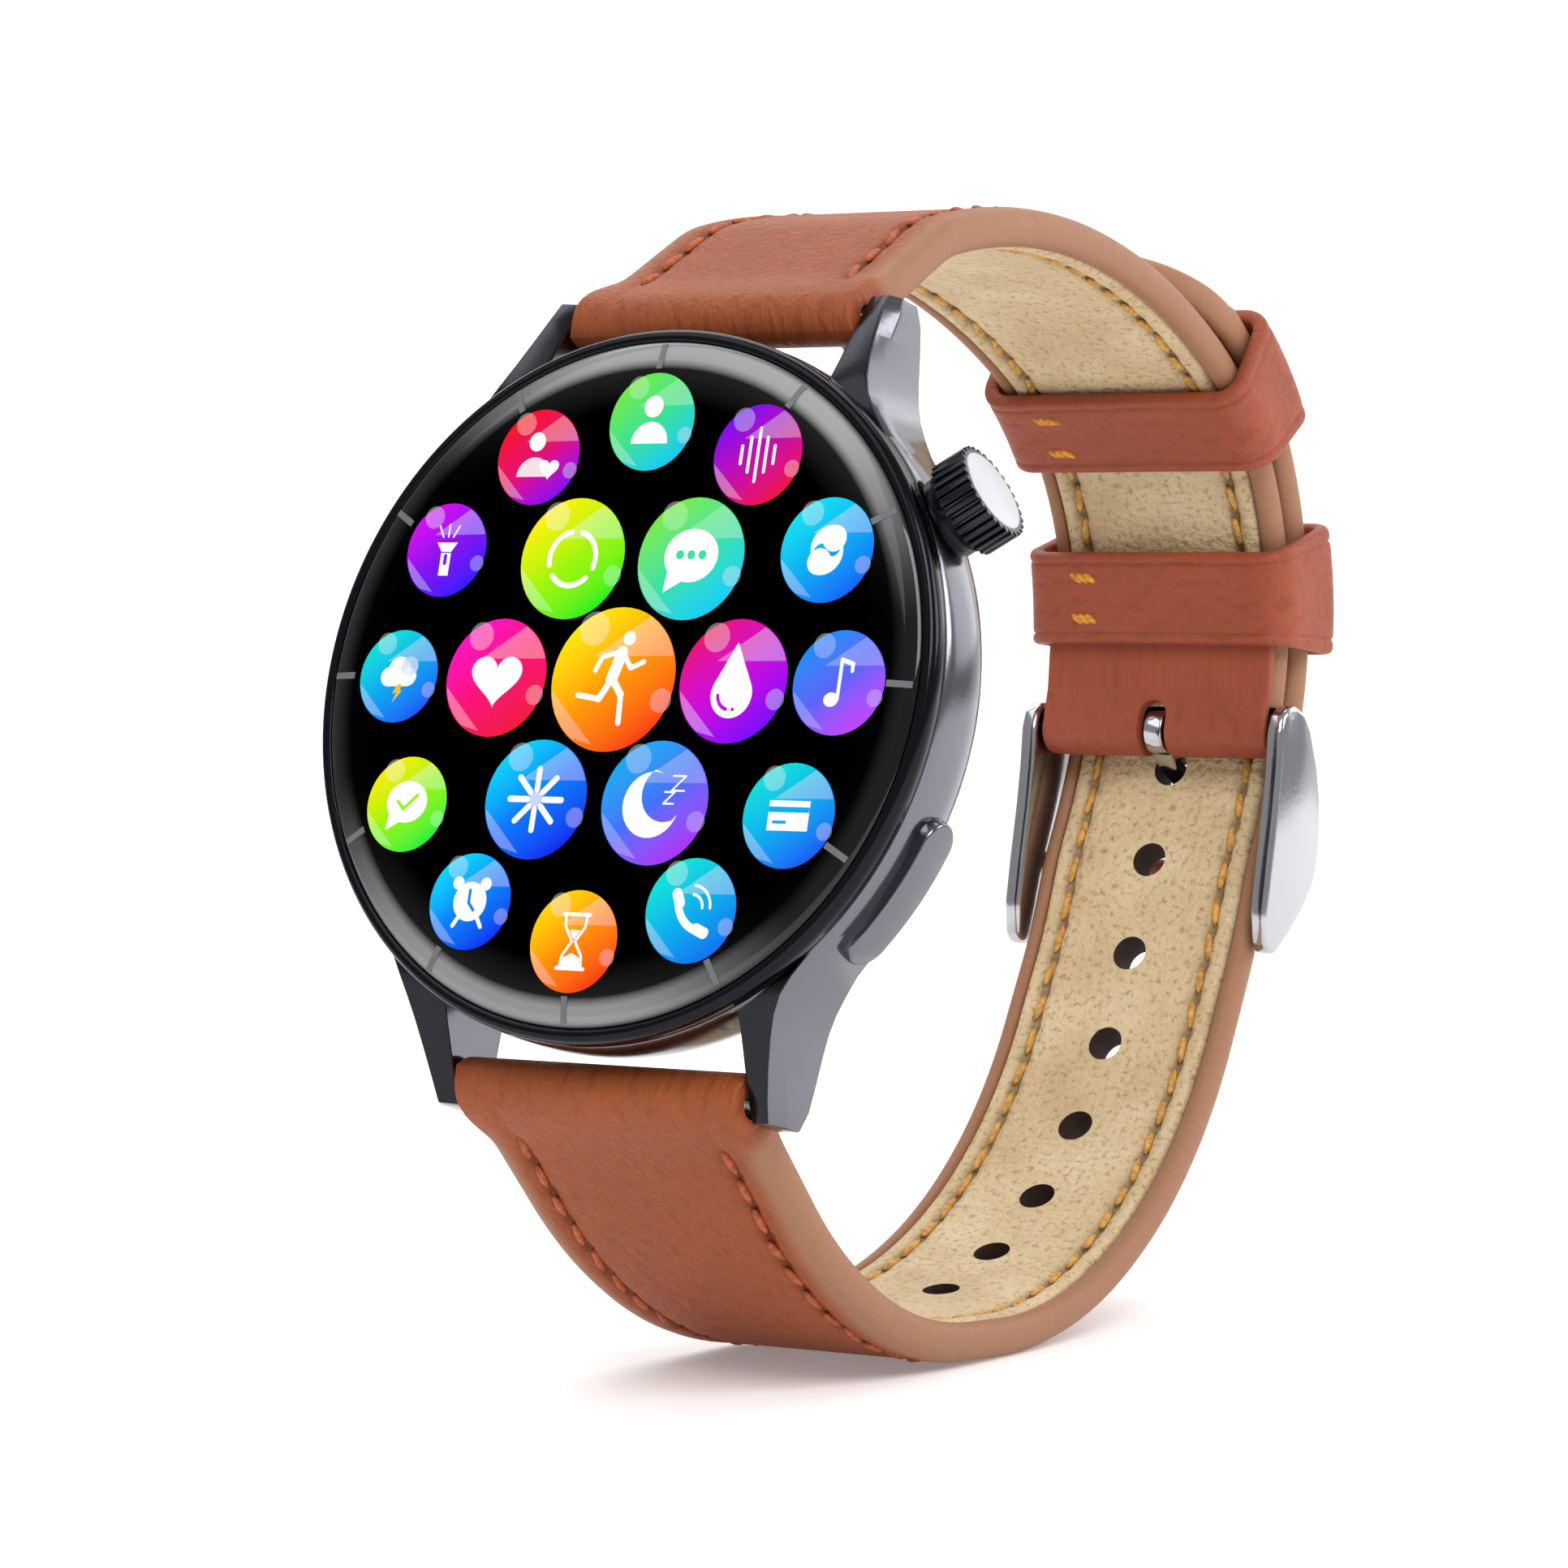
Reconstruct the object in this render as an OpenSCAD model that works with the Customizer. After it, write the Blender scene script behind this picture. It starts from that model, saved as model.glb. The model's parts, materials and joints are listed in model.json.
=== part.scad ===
// Round smartwatch on a two-piece leather strap, buckled into a loop.
// The watch is drawn with its dial facing -Y, 12 o'clock along +Z and the crown on +X.
// Depth is measured along +Y from the front of the glass; place() then leans it back.

/* [Case] */
// Diameter of the case and bezel
case_d = 46; // [45:0.5:56]
// Depth of the case from the glass to the flat of the back cover
case_t = 10.3; // [10.3:0.1:13]
// Thickness of the case side wall
case_wall = 2.8; // [2.4:0.1:3.4]
// Lean of the dial away from upright, in degrees
lean = 15; // [0:1:25]

/* [Dial] */
// Thickness of the cover glass
glass_t = 1.3; // [1:0.1:1.6]
// Width of the metal bezel round the glass
bezel_w = 0.9; // [0.7:0.1:1.4]

/* [Crown] */
// Angle of the crown above 3 o'clock, in degrees
crown_angle = 31; // [20:1:40]
// Diameter of the knurled crown
crown_d = 6.4; // [5.2:0.1:7.8]
// Length of the knurled crown
crown_len = 2.4; // [1.8:0.1:3.2]
// Travel of the crown when pressed
crown_travel = 0.35; // [0.2:0.05:0.4]

/* [Side button] */
// Angle of the side button below 3 o'clock, in degrees
button_angle = 31; // [24:1:38]
// Length of the side button
button_len = 10.4; // [8:0.2:12.4]
// Height of the side button
button_h = 3; // [2.4:0.1:3.6]
// Travel of the side button
button_travel = 0.35; // [0.2:0.05:0.4]

/* [Strap] */
// Width of the strap between the lugs
lug_w = 22.3; // [18.5:0.1:24]
// Width of the strap at the buckle
tail_w = 18.4; // [16:0.2:20]
// Thickness of the outer leather
leather_t = 1.6; // [1.3:0.1:2]
// Thickness of the lining
lining_t = 1.2; // [0.9:0.1:1.5]
// Diameter of the adjustment holes
hole_d = 2.6; // [2.2:0.1:2.8]
// Distance between the adjustment holes
hole_pitch = 7.3; // [6:0.1:8.8]
// Number of adjustment holes
hole_count = 10; // [7:1:11]

/* [Buckle] */
// Thickness of the buckle's side arms
arm_t = 1.3; // [1:0.1:1.6]
// Diameter of the buckle's hinge pin
pin_d = 1.4; // [1.2:0.1:1.6]
// Width of each keeper along the strap
keeper_w = 7.8; // [5:0.1:9.4]
// Thickness of the keeper leather
keeper_t = 1.1; // [0.8:0.1:1.4]

/* [Hidden] */
$fn = 96;

// Clearances
slide_gap = 0.05;
skin_gap = 0.3;
button_gap = 0.12;
eps = 0.01;

// Case radii and depths
case_r = case_d / 2;
cavity_r = case_r - case_wall;
bezel_front = 0.4;
case_front = 1.9;
glass_r = case_r - bezel_w;
seal_t = 0.2;
seal_w = 1.2;
screen_r = cavity_r - 0.2;
screen_t = 1;
screen_back = glass_t + screen_t;
bracket_t = 0.4;
bracket_front = screen_back + 0.1;
board_t = 0.6;
board_front = bracket_front + bracket_t + 0.3;
board_back = board_front + board_t;
board_r = cavity_r - 0.8;
shelf_t = 1;
cover_t = 0.9;
shelf_back = case_t - cover_t;
shelf_front = shelf_back - shelf_t;
cover_r = case_r - 4.1;
shelf_r = cover_r - 1.8;
window_r = 13;
window_flat_r = 10;
window_rise = 1.7;
seat_depth = case_t + window_rise;
side_depth = 5.2;

// Battery and the parts round it
battery_r = 10.5;
battery_x = -4;
battery_t = 3.9;
motor_r = 4;
motor_t = 2.6;
screw_count = 4;
screw_ring_r = cover_r - 0.75;
screw_shank_r = 0.5;
screw_head_r = 0.6;
screw_head_t = 0.4;

// Crown and its tube
stem_r = 0.75;
tube_r = 1.5;
collar_r = crown_d * 0.41;
collar_out = case_r + 0.4;
crown_in = collar_out + crown_travel + 0.1;
crown_out = crown_in + crown_len;
cap_r = crown_d * 0.37;
cap_t = 0.35;
tooth_count = 30;
tooth_depth = 0.28;
tube_in = cavity_r - 0.6;
stem_in = tube_in - 2.4;
yoke_t = 0.5;
yoke_r = 1.2;

// Side button
button_in = case_r - 1.4;
button_out = case_r + 0.9;
pocket_floor = button_in - 0.4;
plunger_r = 0.7;
plunger_in = cavity_r - 2.6;
clip_t = 0.4;

// Spring bars and lugs
lug_x = lug_w / 2;
bar_r = 0.75;
bar_bore_r = 0.55;
eye_r = 1.95;
bar_depth = 6.2;
bar_z = case_r + 2.2;
bar_half = lug_x - 0.6;
tip_r = 0.4;
piston_r = 0.5;
piston_in = bar_half - 3.2;
piston_len = 2.85;
tip_reach = 1.1;
lug_end = 1.3;
lever_x = bar_half - 2.4;
lever_r = 0.4;
lever_len = 3;

// Strap: half widths, and layers measured outward from the middle of the thickness
strap_t = leather_t + lining_t;
half_t = strap_t / 2;
seam = lining_t - half_t;
front_half_w = lug_x - skin_gap;
tail_half_w = tail_w / 2;
taper_from = 8;
taper_to = 70;
flex_gap = 0.05;
flex_angle = 7;

// A path is a start [depth, height, heading] and steps [radius, turn, length]:
// a step with radius 0 runs straight for its length, the others turn through an arc.
short_start = [bar_depth, bar_z, 42];
crest_r = 52;
back_r = 22;
fold_turn = 18;
pin_drop = 2.75;
arc_step = 4;
short_steps = [
  [0, 0, 10.6],
  [10, -16, 0],
  [crest_r, -11, 0],
  [crest_r, -31, 0],
  [back_r, fold_turn - 74, 0],
  [back_r, -fold_turn, 0],
  [0, 0, pin_drop]
];
short_pts = path_points(short_start, short_steps);
short_split = 3;
back_centre = centre_of(short_pts[4], short_steps[4]);
crest_centre = centre_of(short_pts[3], short_steps[3]);

// The tail lies over the short strap, so it turns about the same two centres
tail_gap = 0.3;
tail_r = back_r + half_t + tail_gap + half_t;
tail_crest_r = crest_r + half_t + tail_gap + half_t;
tail_join = [back_centre[0] + tail_r, back_centre[1]];
tip_turn = 9;
long_start = [bar_depth, -bar_z, -33];
long_lead = [[0, 0, 10], [34, 18, 0], [30, 27, 0]];
long_sweep = [34, 64, 0];
long_rise = [[40, 9, 0], [25, -9, 0], [44, 14, 0]];
lead_pts = path_points(long_start, long_lead);
lead_end = lead_pts[3];
loose_end = step_end(lead_end, long_sweep);
rise_pts = path_points(loose_end, long_rise);
// Two straight stretches, along the bottom and up the back, close the loop exactly
miss = [tail_join[0] - rise_pts[3][0], tail_join[1] - rise_pts[3][1]];
run_a = [cos(lead_end[2]), sin(lead_end[2])];
run_b = [cos(loose_end[2]), sin(loose_end[2])];
run_det = run_a[0] * run_b[1] - run_a[1] * run_b[0];
bottom_run = (miss[0] * run_b[1] - miss[1] * run_b[0]) / run_det;
back_run = (run_a[0] * miss[1] - run_a[1] * miss[0]) / run_det;
long_steps = concat(
  long_lead,
  [[0, 0, bottom_run], long_sweep, [0, 0, back_run]],
  long_rise,
  [[tail_r, 74, 0], [tail_crest_r, tip_turn, 0]]
);
long_pts = path_points(long_start, long_steps);
long_split = 2;
lead_steps = 9;
tail_tip = long_pts[11];

// Buckle
pin_r = pin_d / 2;
fold_t = 0.9;
fold_r = half_t + fold_t / 2;
pin_y = back_centre[0] + back_r - fold_t / 2;
pin_z = back_centre[1] - pin_drop;
arm_in = tail_half_w + 0.35;
far_bar_r = 0.9;
far_bar_z = pin_z - 9.2;
far_bar_y = pin_y + 5.1;
tongue_w = 1.5;
tongue_t = 0.95;
ring_r = 1.65;
prong_z = pin_z - 2.5;
holes_past_prong = 2;
prong_s = path_length(long_steps, lead_steps) - (back_centre[1] - prong_z);

// Keepers
keeper_gap = 0.25;
fixed_at = 19.5;
floating_at = 58;
keeper_half_w = hw(back_centre[0] + 12) + keeper_gap;

// Colours
gunmetal = "#3a3b40";
steel = "#c9cbd0";
black = "#101114";
chestnut = "#9a5636";
lining_tan = "#d3b98d";
keeper_brown = "#a5492c";
board_green = "#1d5a3c";
brass_tone = "#c8a45a";

// Half width of the strap at a depth behind the dial
function hw(y) =
  y < taper_from ? front_half_w :
  y > taper_to ? tail_half_w :
  front_half_w + (tail_half_w - front_half_w) * (y - taper_from) / (taper_to - taper_from);

// Centre of the arc that a step turns about
function centre_of(p, s) = let (k = sign(s[1]) * s[0])
  [p[0] - k * sin(p[2]), p[1] + k * cos(p[2])];

// Where a step ends, as [depth, height, heading]
function step_end(p, s) = s[0] == 0
  ? [p[0] + s[2] * cos(p[2]), p[1] + s[2] * sin(p[2]), p[2]]
  : let (c = centre_of(p, s), k = sign(s[1]) * s[0], h = p[2] + s[1])
    [c[0] + k * sin(h), c[1] - k * cos(h), h];

function path_points(p, steps, i = 0) = i == len(steps)
  ? [p]
  : concat([p], path_points(step_end(p, steps[i]), steps, i + 1));

function step_length(s) = s[0] == 0 ? s[2] : s[0] * abs(s[1]) * PI / 180;

// Length of the first n steps
function path_length(steps, n, i = 0) = i == n ? 0 : step_length(steps[i]) + path_length(steps, n, i + 1);

// The step cut short at length d
function part_step(s, d) = s[0] == 0 ? [0, 0, d] : [s[0], sign(s[1]) * d / s[0] * 180 / PI, 0];

// How many flats an arc is drawn with
function divisions(s) = s[0] == 0 ? 1 : ceil(abs(s[1]) / arc_step);

// The point at length d along a path
function path_at(p, steps, d, i = 0) = d <= step_length(steps[i]) || i == len(steps) - 1
  ? step_end(p, part_step(steps[i], d))
  : path_at(step_end(p, steps[i]), steps, d - step_length(steps[i]), i + 1);

// Lean the watch back with the flat of its back window at the origin
module place() rotate([-lean, 0, 0]) translate([0, -seat_depth, 0]) children();

// Turn a profile of [radius, depth] points about the dial's axis
module turned(points) rotate([-90, 0, 0]) rotate_extrude() polygon(points);

// A disc about the dial's axis between two depths
module disc(r, d0, d1, x = 0, z = 0)
  translate([x, d0, z]) rotate([-90, 0, 0]) cylinder(r = r, h = d1 - d0);

// A box between two depths, centred on x and z
module slab(size_x, size_z, d0, d1, x = 0, z = 0)
  translate([x - size_x / 2, d0, z - size_z / 2]) cube([size_x, d1 - d0, size_z]);

// Stand local Z along the radius at an angle above 3 o'clock
module radial(a, d) translate([0, d, 0]) rotate([0, 90 - a, 0]) children();

// A cylinder across the strap
module cross_rod(r, x0, x1, y, z) translate([x0, y, z]) rotate([0, 90, 0]) cylinder(r = r, h = x1 - x0);

// A coil of round wire along Z
module coil(r, wire_r, length, turns) {
  sides = 6;
  rings = turns * 10;
  ring_pts = [for (i = [0:rings], j = [0:sides - 1])
    let (a = i * 36, b = j * 360 / sides, q = r + wire_r * cos(b))
    [q * cos(a), q * sin(a), wire_r + i / rings * (length - 2 * wire_r) + wire_r * sin(b)]];
  skins = [for (i = [0:rings - 1], j = [0:sides - 1])
    let (k = (j + 1) % sides, a = i * sides, b = a + sides)
    each [[a + j, a + k, b + k], [a + j, b + k, b + j]]];
  near_cap = [for (j = [1:sides - 2]) [0, j + 1, j]];
  far_cap = [for (j = [1:sides - 2]) [rings * sides, rings * sides + j, rings * sides + j + 1]];
  polyhedron(points = ring_pts, faces = [for (f = concat(skins, near_cap, far_cap)) [f[2], f[1], f[0]]]);
}

// Points along steps first to last, at an offset to the left of the middle line
function edge_points(pts, steps, first, last, off) = [
  for (i = [first:last], k = [(i == first ? 0 : 1):divisions(steps[i])])
    let (q = step_end(pts[i], part_step(steps[i], step_length(steps[i]) * k / divisions(steps[i]))))
    [q[0] - off * sin(q[2]), q[1] + off * cos(q[2])]
];

function reversed(list) = [for (i = [len(list) - 1:-1:0]) list[i]];

// Steps first to last of a layer; side is 1 where outward lies left of travel, else -1
module layer(pts, steps, first, last, side, inner, outer)
  rotate([90, 0, 90]) linear_extrude(lug_w, center = true) polygon(concat(
    edge_points(pts, steps, first, last, side * inner),
    reversed(edge_points(pts, steps, first, last, side * outer))
  ));

// Outline that narrows the strap from the lugs to the buckle
module taper() translate([0, 0, -100]) linear_extrude(200) polygon([
  [-front_half_w, -5], [front_half_w, -5], [front_half_w, taper_from],
  [tail_half_w, taper_to], [tail_half_w, 100], [-tail_half_w, 100],
  [-tail_half_w, taper_to], [-front_half_w, taper_from]
]);

// Shallow V on both sides of a flex line, so the two halves can rock
module flex_cut(p) translate([0, p[0], p[1]]) rotate([p[2], 0, 0]) rotate([90, 0, 90])
  linear_extrude(lug_w + 2, center = true) polygon([
    [-flex_gap, 0], [-flex_gap - half_t * tan(flex_angle) * 1.5, -half_t * 1.5],
    [flex_gap + half_t * tan(flex_angle) * 1.5, -half_t * 1.5], [flex_gap, 0],
    [flex_gap + half_t * tan(flex_angle) * 1.5, half_t * 1.5],
    [-flex_gap - half_t * tan(flex_angle) * 1.5, half_t * 1.5]
  ]);

// Adjustment holes of the long strap
module strap_holes() for (i = [0:hole_count - 1]) {
  q = path_at(long_start, long_steps, prong_s + (holes_past_prong - i) * hole_pitch);
  translate([0, q[0], q[1]]) rotate([q[2], 0, 0]) cylinder(d = hole_d, h = 4 * half_t, center = true);
}

// Slot in a strap end that the release lever slides in
module lever_slot(z, dir) translate([lever_x - tip_reach - lever_r - 0.4, bar_depth, z]) rotate([dir, 0, 0])
  translate([0, -lever_r - 0.45, 0]) cube([tip_reach + 2 * lever_r + 0.9, 2 * lever_r + 0.9, 4]);
lever_dir_upper = -118;
lever_dir_lower = -62;

// ---- Case ----

// One faceted lug, drawn for the upper right corner
module lug() hull() {
  translate([0, 0, 14]) linear_extrude(eps)
    polygon([[lug_x, 1.9], [14.2, 1.7], [18.2, 3.4], [18.2, 8.2], [lug_x, 9.2]]);
  translate([0, 0, bar_z - 0.8]) linear_extrude(eps)
    polygon([[lug_x, 4.7], [lug_x + 1.75, 4.4], [lug_x + 2.4, 5.7], [lug_x + 2.4, 8.8], [lug_x, 9.2]]);
  translate([0, 0, bar_z + lug_end]) linear_extrude(eps)
    polygon([[lug_x, 5.8], [lug_x + 1.4, 5.5], [lug_x + 2, 6.6], [lug_x + 2, 8.4], [lug_x, 8.7]]);
}

module case_middle() color(gunmetal) place() difference() {
  union() {
    turned([
      [cavity_r, case_front], [case_r, case_front], [case_r + 0.12, case_front + 0.9],
      [case_r + 0.12, case_front + 2.3], [case_r, case_front + 3.6],
      [case_r - 0.45, case_front + 4.9], [case_r - 1.3, case_front + 6.3],
      [case_r - 2.6, case_front + 7.6], [case_r - 3.5, case_t - 0.1], [cover_r, case_t],
      [cover_r, shelf_back], [shelf_r, shelf_back], [shelf_r, shelf_front], [cavity_r, shelf_front]
    ]);
    for (u = [0, 1], v = [0, 1]) mirror([u, 0, 0]) mirror([0, 0, v]) difference() {
      lug();
      disc(case_r - 1, 0, 20);
    }
  }
  for (v = [-1, 1])
    cross_rod(tip_r + slide_gap, -lug_x - tip_reach - 0.3, lug_x + tip_reach + 0.3, bar_depth, v * bar_z);
  radial(crown_angle, side_depth) translate([0, 0, cavity_r - 2]) cylinder(r = tube_r, h = 10);
  radial(crown_angle, side_depth) translate([0, 0, case_r - 0.5]) cylinder(r = collar_r + 0.1, h = 10);
  radial(-button_angle, side_depth) {
    translate([0, 0, cavity_r - 2]) cylinder(r = plunger_r + slide_gap, h = 10);
    translate([0, 0, cavity_r - 0.1]) cylinder(r = plunger_r + 0.45, h = 0.6);
    translate([0, 0, pocket_floor]) stadium(button_len + 2 * button_gap, button_h + 2 * button_gap, 10);
  }
  for (i = [0:screw_count - 1]) rotate([0, 45 + i * 90, 0])
    disc(screw_shank_r, shelf_front - 1, shelf_back + 1, screw_ring_r);
}

module bezel_ring() color(black) place() turned([
  [glass_r, glass_t + seal_t], [glass_r, bezel_front], [case_r - 0.45, bezel_front - 0.05],
  [case_r - 0.1, bezel_front + 0.2], [case_r, bezel_front + 0.6], [case_r, case_front],
  [cavity_r, case_front], [cavity_r, glass_t + seal_t]
]);

module cover_glass() color(black) place() turned(concat(
  [[0, glass_t], [0, 0]],
  [for (a = [0:15:75]) [glass_r - 1.9 + 1.9 * sin(a), 0.55 * (1 - cos(a))]],
  [[glass_r, 0.55], [glass_r, glass_t]]
));

module glass_seal() color(black) place() turned([
  [cavity_r, glass_t], [glass_r, glass_t], [glass_r, glass_t + seal_t], [cavity_r, glass_t + seal_t]
]);

module display_panel() color("#05060a") place() disc(screen_r, glass_t, screen_back);

module display_flex() color(brass_tone) place() {
  slab(7, 0.12, screen_back, board_front, 0, -board_r + 2.4);
}

module display_bracket() color("#55585e") place() difference() {
  disc(screen_r - 0.5, bracket_front, bracket_front + bracket_t);
  disc(6, 0, 20, battery_x);
  slab(8, 1.6, 0, 20, 0, -board_r + 2.4);
}

// ---- Inside ----

module main_board() color(board_green) place() difference() {
  disc(board_r, board_front, board_back);
  disc(battery_r + 0.3, 0, 20, battery_x);
}

module shield_can() color(steel) place() slab(6.4, 9.6, board_back, board_back + 1.6, 11.8, -0.6);

module battery() color("#2b3f6b") place()
  disc(battery_r, board_front, board_front + battery_t + 0.6, battery_x);

module vibration_motor() color(steel) place()
  disc(motor_r, board_back, board_back + motor_t, 6, -cavity_r + motor_r + 2.8);

module speaker() color("#303238") place() slab(11, 4.4, board_back, board_back + 2.8, -3.6, cavity_r - 5.9);

module microphone() color(steel) place() slab(3, 2, board_back, board_back + 1, 9, cavity_r - 7.4);

module back_cover() color("#1c1d21") place() difference() {
  disc(cover_r - 0.06, shelf_back, case_t);
  disc(window_r + 0.05, 0, 20);
  for (i = [0:screw_count - 1]) rotate([0, 45 + i * 90, 0]) {
    disc(screw_shank_r + 0.05, 0, 20, screw_ring_r);
    disc(screw_head_r + 0.03, case_t - screw_head_t, 20, screw_ring_r);
  }
  for (x = [-1, 1]) disc(0.85, 0, 20, x * 1.6, -window_r - 1.6);
  turned([
    [shelf_r - 0.1, shelf_back - 1], [shelf_r + 0.4, shelf_back - 1],
    [shelf_r + 0.4, shelf_back + 0.4], [shelf_r - 0.1, shelf_back + 0.4]
  ]);
}

module back_seal() color("#c23b2a") place() turned([
  [shelf_r, shelf_back], [shelf_r + 0.4, shelf_back],
  [shelf_r + 0.4, shelf_back + 0.36], [shelf_r, shelf_back + 0.36]
]);

module back_screws() color(steel) place() for (i = [0:screw_count - 1]) rotate([0, 45 + i * 90, 0]) {
  difference() {
    union() {
      disc(screw_shank_r, shelf_front, case_t - screw_head_t, screw_ring_r);
      disc(screw_head_r, case_t - screw_head_t, case_t, screw_ring_r);
    }
    disc(0.28, case_t - 0.3, 20, screw_ring_r, $fn = 6);
  }
}

module sensor_window() color("#0b0c10") place() turned([
  [0, shelf_back], [window_r, shelf_back], [window_r, case_t + 0.5],
  [window_r - 0.5, case_t + 0.95], [window_r - 1.5, case_t + 1.4],
  [window_flat_r, seat_depth], [0, seat_depth]
]);

module sensor_board() color(board_green) place() disc(window_r - 2, shelf_back - 0.6, shelf_back);

module charging_contacts() color(brass_tone) place()
  for (x = [-1, 1]) disc(0.85, shelf_back - 0.5, case_t, x * 1.6, -window_r - 1.6);

module charging_magnets() color(steel) place()
  for (x = [-1, 1]) disc(1.3, shelf_front, shelf_back, x * (window_r + 0.9));

// ---- Crown ----

module crown() color(black) place() radial(crown_angle, side_depth) difference() {
  translate([0, 0, crown_in]) linear_extrude(crown_len) polygon([
    for (i = [0:tooth_count - 1], e = [[0.28, 1], [0.72, 1], [0.85, 0], [1.15, 0]])
      let (a = (i + e[0]) * 360 / tooth_count, r = crown_d / 2 - (1 - e[1]) * tooth_depth)
      [r * cos(a), r * sin(a)]
  ]);
  translate([0, 0, crown_out - cap_t]) cylinder(r = cap_r, h = 1);
  translate([0, 0, crown_in - 1]) cylinder(r = stem_r, h = crown_len - cap_t + 0.2);
}

module crown_cap() color(steel) place() radial(crown_angle, side_depth)
  translate([0, 0, crown_out - cap_t]) cylinder(r = cap_r, h = cap_t + 0.06);

module crown_stem() color(steel) place() radial(crown_angle, side_depth)
  translate([0, 0, stem_in]) cylinder(r = stem_r, h = crown_out - cap_t - 0.8 - stem_in);

module crown_tube() color(gunmetal) place() radial(crown_angle, side_depth) difference() {
  union() {
    translate([0, 0, tube_in]) cylinder(r = tube_r, h = collar_out - tube_in);
    translate([0, 0, case_r - 0.5]) cylinder(r = collar_r, h = collar_out - case_r + 0.5);
  }
  cylinder(r = stem_r + slide_gap, h = 40);
  translate([0, 0, cavity_r + 1]) cylinder(r = stem_r + 0.4, h = 0.7);
}

module crown_seal() color(black) place() radial(crown_angle, side_depth)
  translate([0, 0, cavity_r + 1.05]) difference() {
    cylinder(r = stem_r + 0.4, h = 0.6);
    translate([0, 0, -1]) cylinder(r = stem_r + slide_gap, h = 3);
  }

module crown_yoke() color(brass_tone) place() radial(crown_angle, side_depth)
  translate([0, 0, stem_in - yoke_t - 0.02]) cylinder(r = yoke_r, h = yoke_t);

module crown_spring() color(steel) place() radial(crown_angle, side_depth)
  translate([0, 0, stem_in + 0.05]) coil(1.05, 0.12, tube_in - stem_in - 0.1, 5);

module crown_switch() color("#2a2b2f") place() radial(crown_angle, side_depth)
  translate([-1.5, -1.2, stem_in - yoke_t - crown_travel - 1.7]) cube([3, 2.4, 1.6]);

// ---- Side button ----

// A flat bar with round ends, standing on local Z
module stadium(length, height, rise) {
  for (s = [-1, 1]) translate([s * (length - height) / 2, 0, 0]) cylinder(d = height, h = rise);
  translate([-(length - height) / 2, -height / 2, 0]) cube([length - height, height, rise]);
}

module side_button() color(gunmetal) place() {
  intersection() {
    radial(-button_angle, side_depth) translate([0, 0, button_in]) stadium(button_len, button_h, 5);
    disc(button_out, 0, 20);
  }
  radial(-button_angle, side_depth) translate([0, 0, plunger_in])
    cylinder(r = plunger_r, h = button_in - plunger_in + 0.5);
}

module button_clip() color(steel) place() radial(-button_angle, side_depth)
  translate([0, 0, cavity_r - 0.3 - clip_t]) difference() {
    cylinder(r = plunger_r + 0.5, h = clip_t);
    translate([0, 0, -1]) cylinder(r = plunger_r, h = 3);
  }

module button_seal() color("#c23b2a") place() radial(-button_angle, side_depth)
  translate([0, 0, cavity_r + 0.05]) difference() {
    cylinder(r = plunger_r + 0.44, h = 0.4);
    translate([0, 0, -1]) cylinder(r = plunger_r + slide_gap, h = 3);
  }

module button_switch() color("#2a2b2f") place() radial(-button_angle, side_depth)
  translate([-1.5, -1.2, plunger_in - button_travel - 1.7]) cube([3, 2.4, 1.6]);

// ---- Spring bars ----

module bar_tube(z, dir) color(steel) place() difference() {
  cross_rod(bar_r, -bar_half, bar_half, bar_depth, z);
  cross_rod(bar_bore_r, -bar_half + 0.3, bar_half - 0.3, bar_depth, z);
  cross_rod(tip_r + slide_gap, -bar_half - 1, bar_half + 1, bar_depth, z);
  lever_slot(z, dir);
}

module bar_tip(z, s) color(steel) place() mirror([s < 0 ? 1 : 0, 0, 0]) {
  cross_rod(piston_r, piston_in, piston_in + piston_len, bar_depth, z);
  cross_rod(tip_r, piston_in, lug_x + tip_reach, bar_depth, z);
}

module release_tip(z, dir) {
  bar_tip(z, 1);
  color(steel) place() translate([lever_x, bar_depth, z]) rotate([dir, 0, 0])
    cylinder(r = lever_r, h = lever_len);
}

module bar_spring(z) color(steel) place() translate([-piston_in + 0.05, bar_depth, z]) rotate([0, 90, 0])
  coil(0.36, 0.1, 2 * piston_in - 0.1, 7);

module upper_bar_tube() bar_tube(bar_z, lever_dir_upper);
module upper_bar_tip() bar_tip(bar_z, -1);
module upper_release_tip() release_tip(bar_z, lever_dir_upper);
module upper_bar_spring() bar_spring(bar_z);
module lower_bar_tube() bar_tube(-bar_z, lever_dir_lower);
module lower_bar_tip() bar_tip(-bar_z, -1);
module lower_release_tip() release_tip(-bar_z, lever_dir_lower);
module lower_bar_spring() bar_spring(-bar_z);

// ---- Strap ----

// The leather at a lug: its band and the eye that it rolls into round the spring bar
module leather_front(pts, steps, last, side, split, z, dir, eye_gap)
color(chestnut) place() difference() {
  intersection() {
    union() {
      cross_rod(eye_r, -front_half_w, front_half_w, bar_depth, z);
      layer(pts, steps, 0, last, side, seam, half_t);
    }
    taper();
  }
  cross_rod(bar_r + eye_gap, -20, 20, bar_depth, z);
  flex_cut(split);
  lever_slot(z, dir);
}

module lining_front(pts, steps, last, side, split, z) color(lining_tan) place() difference() {
  intersection() {
    layer(pts, steps, 0, last, side, -half_t, seam);
    taper();
  }
  cross_rod(eye_r, -20, 20, bar_depth, z);
  flex_cut(split);
}

module short_strap_leather_front() leather_front(
  short_pts, short_steps, short_split - 1, 1, short_pts[short_split], bar_z, lever_dir_upper, slide_gap
);

module short_strap_lining_front()
  lining_front(short_pts, short_steps, short_split - 1, 1, short_pts[short_split], bar_z);

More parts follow.
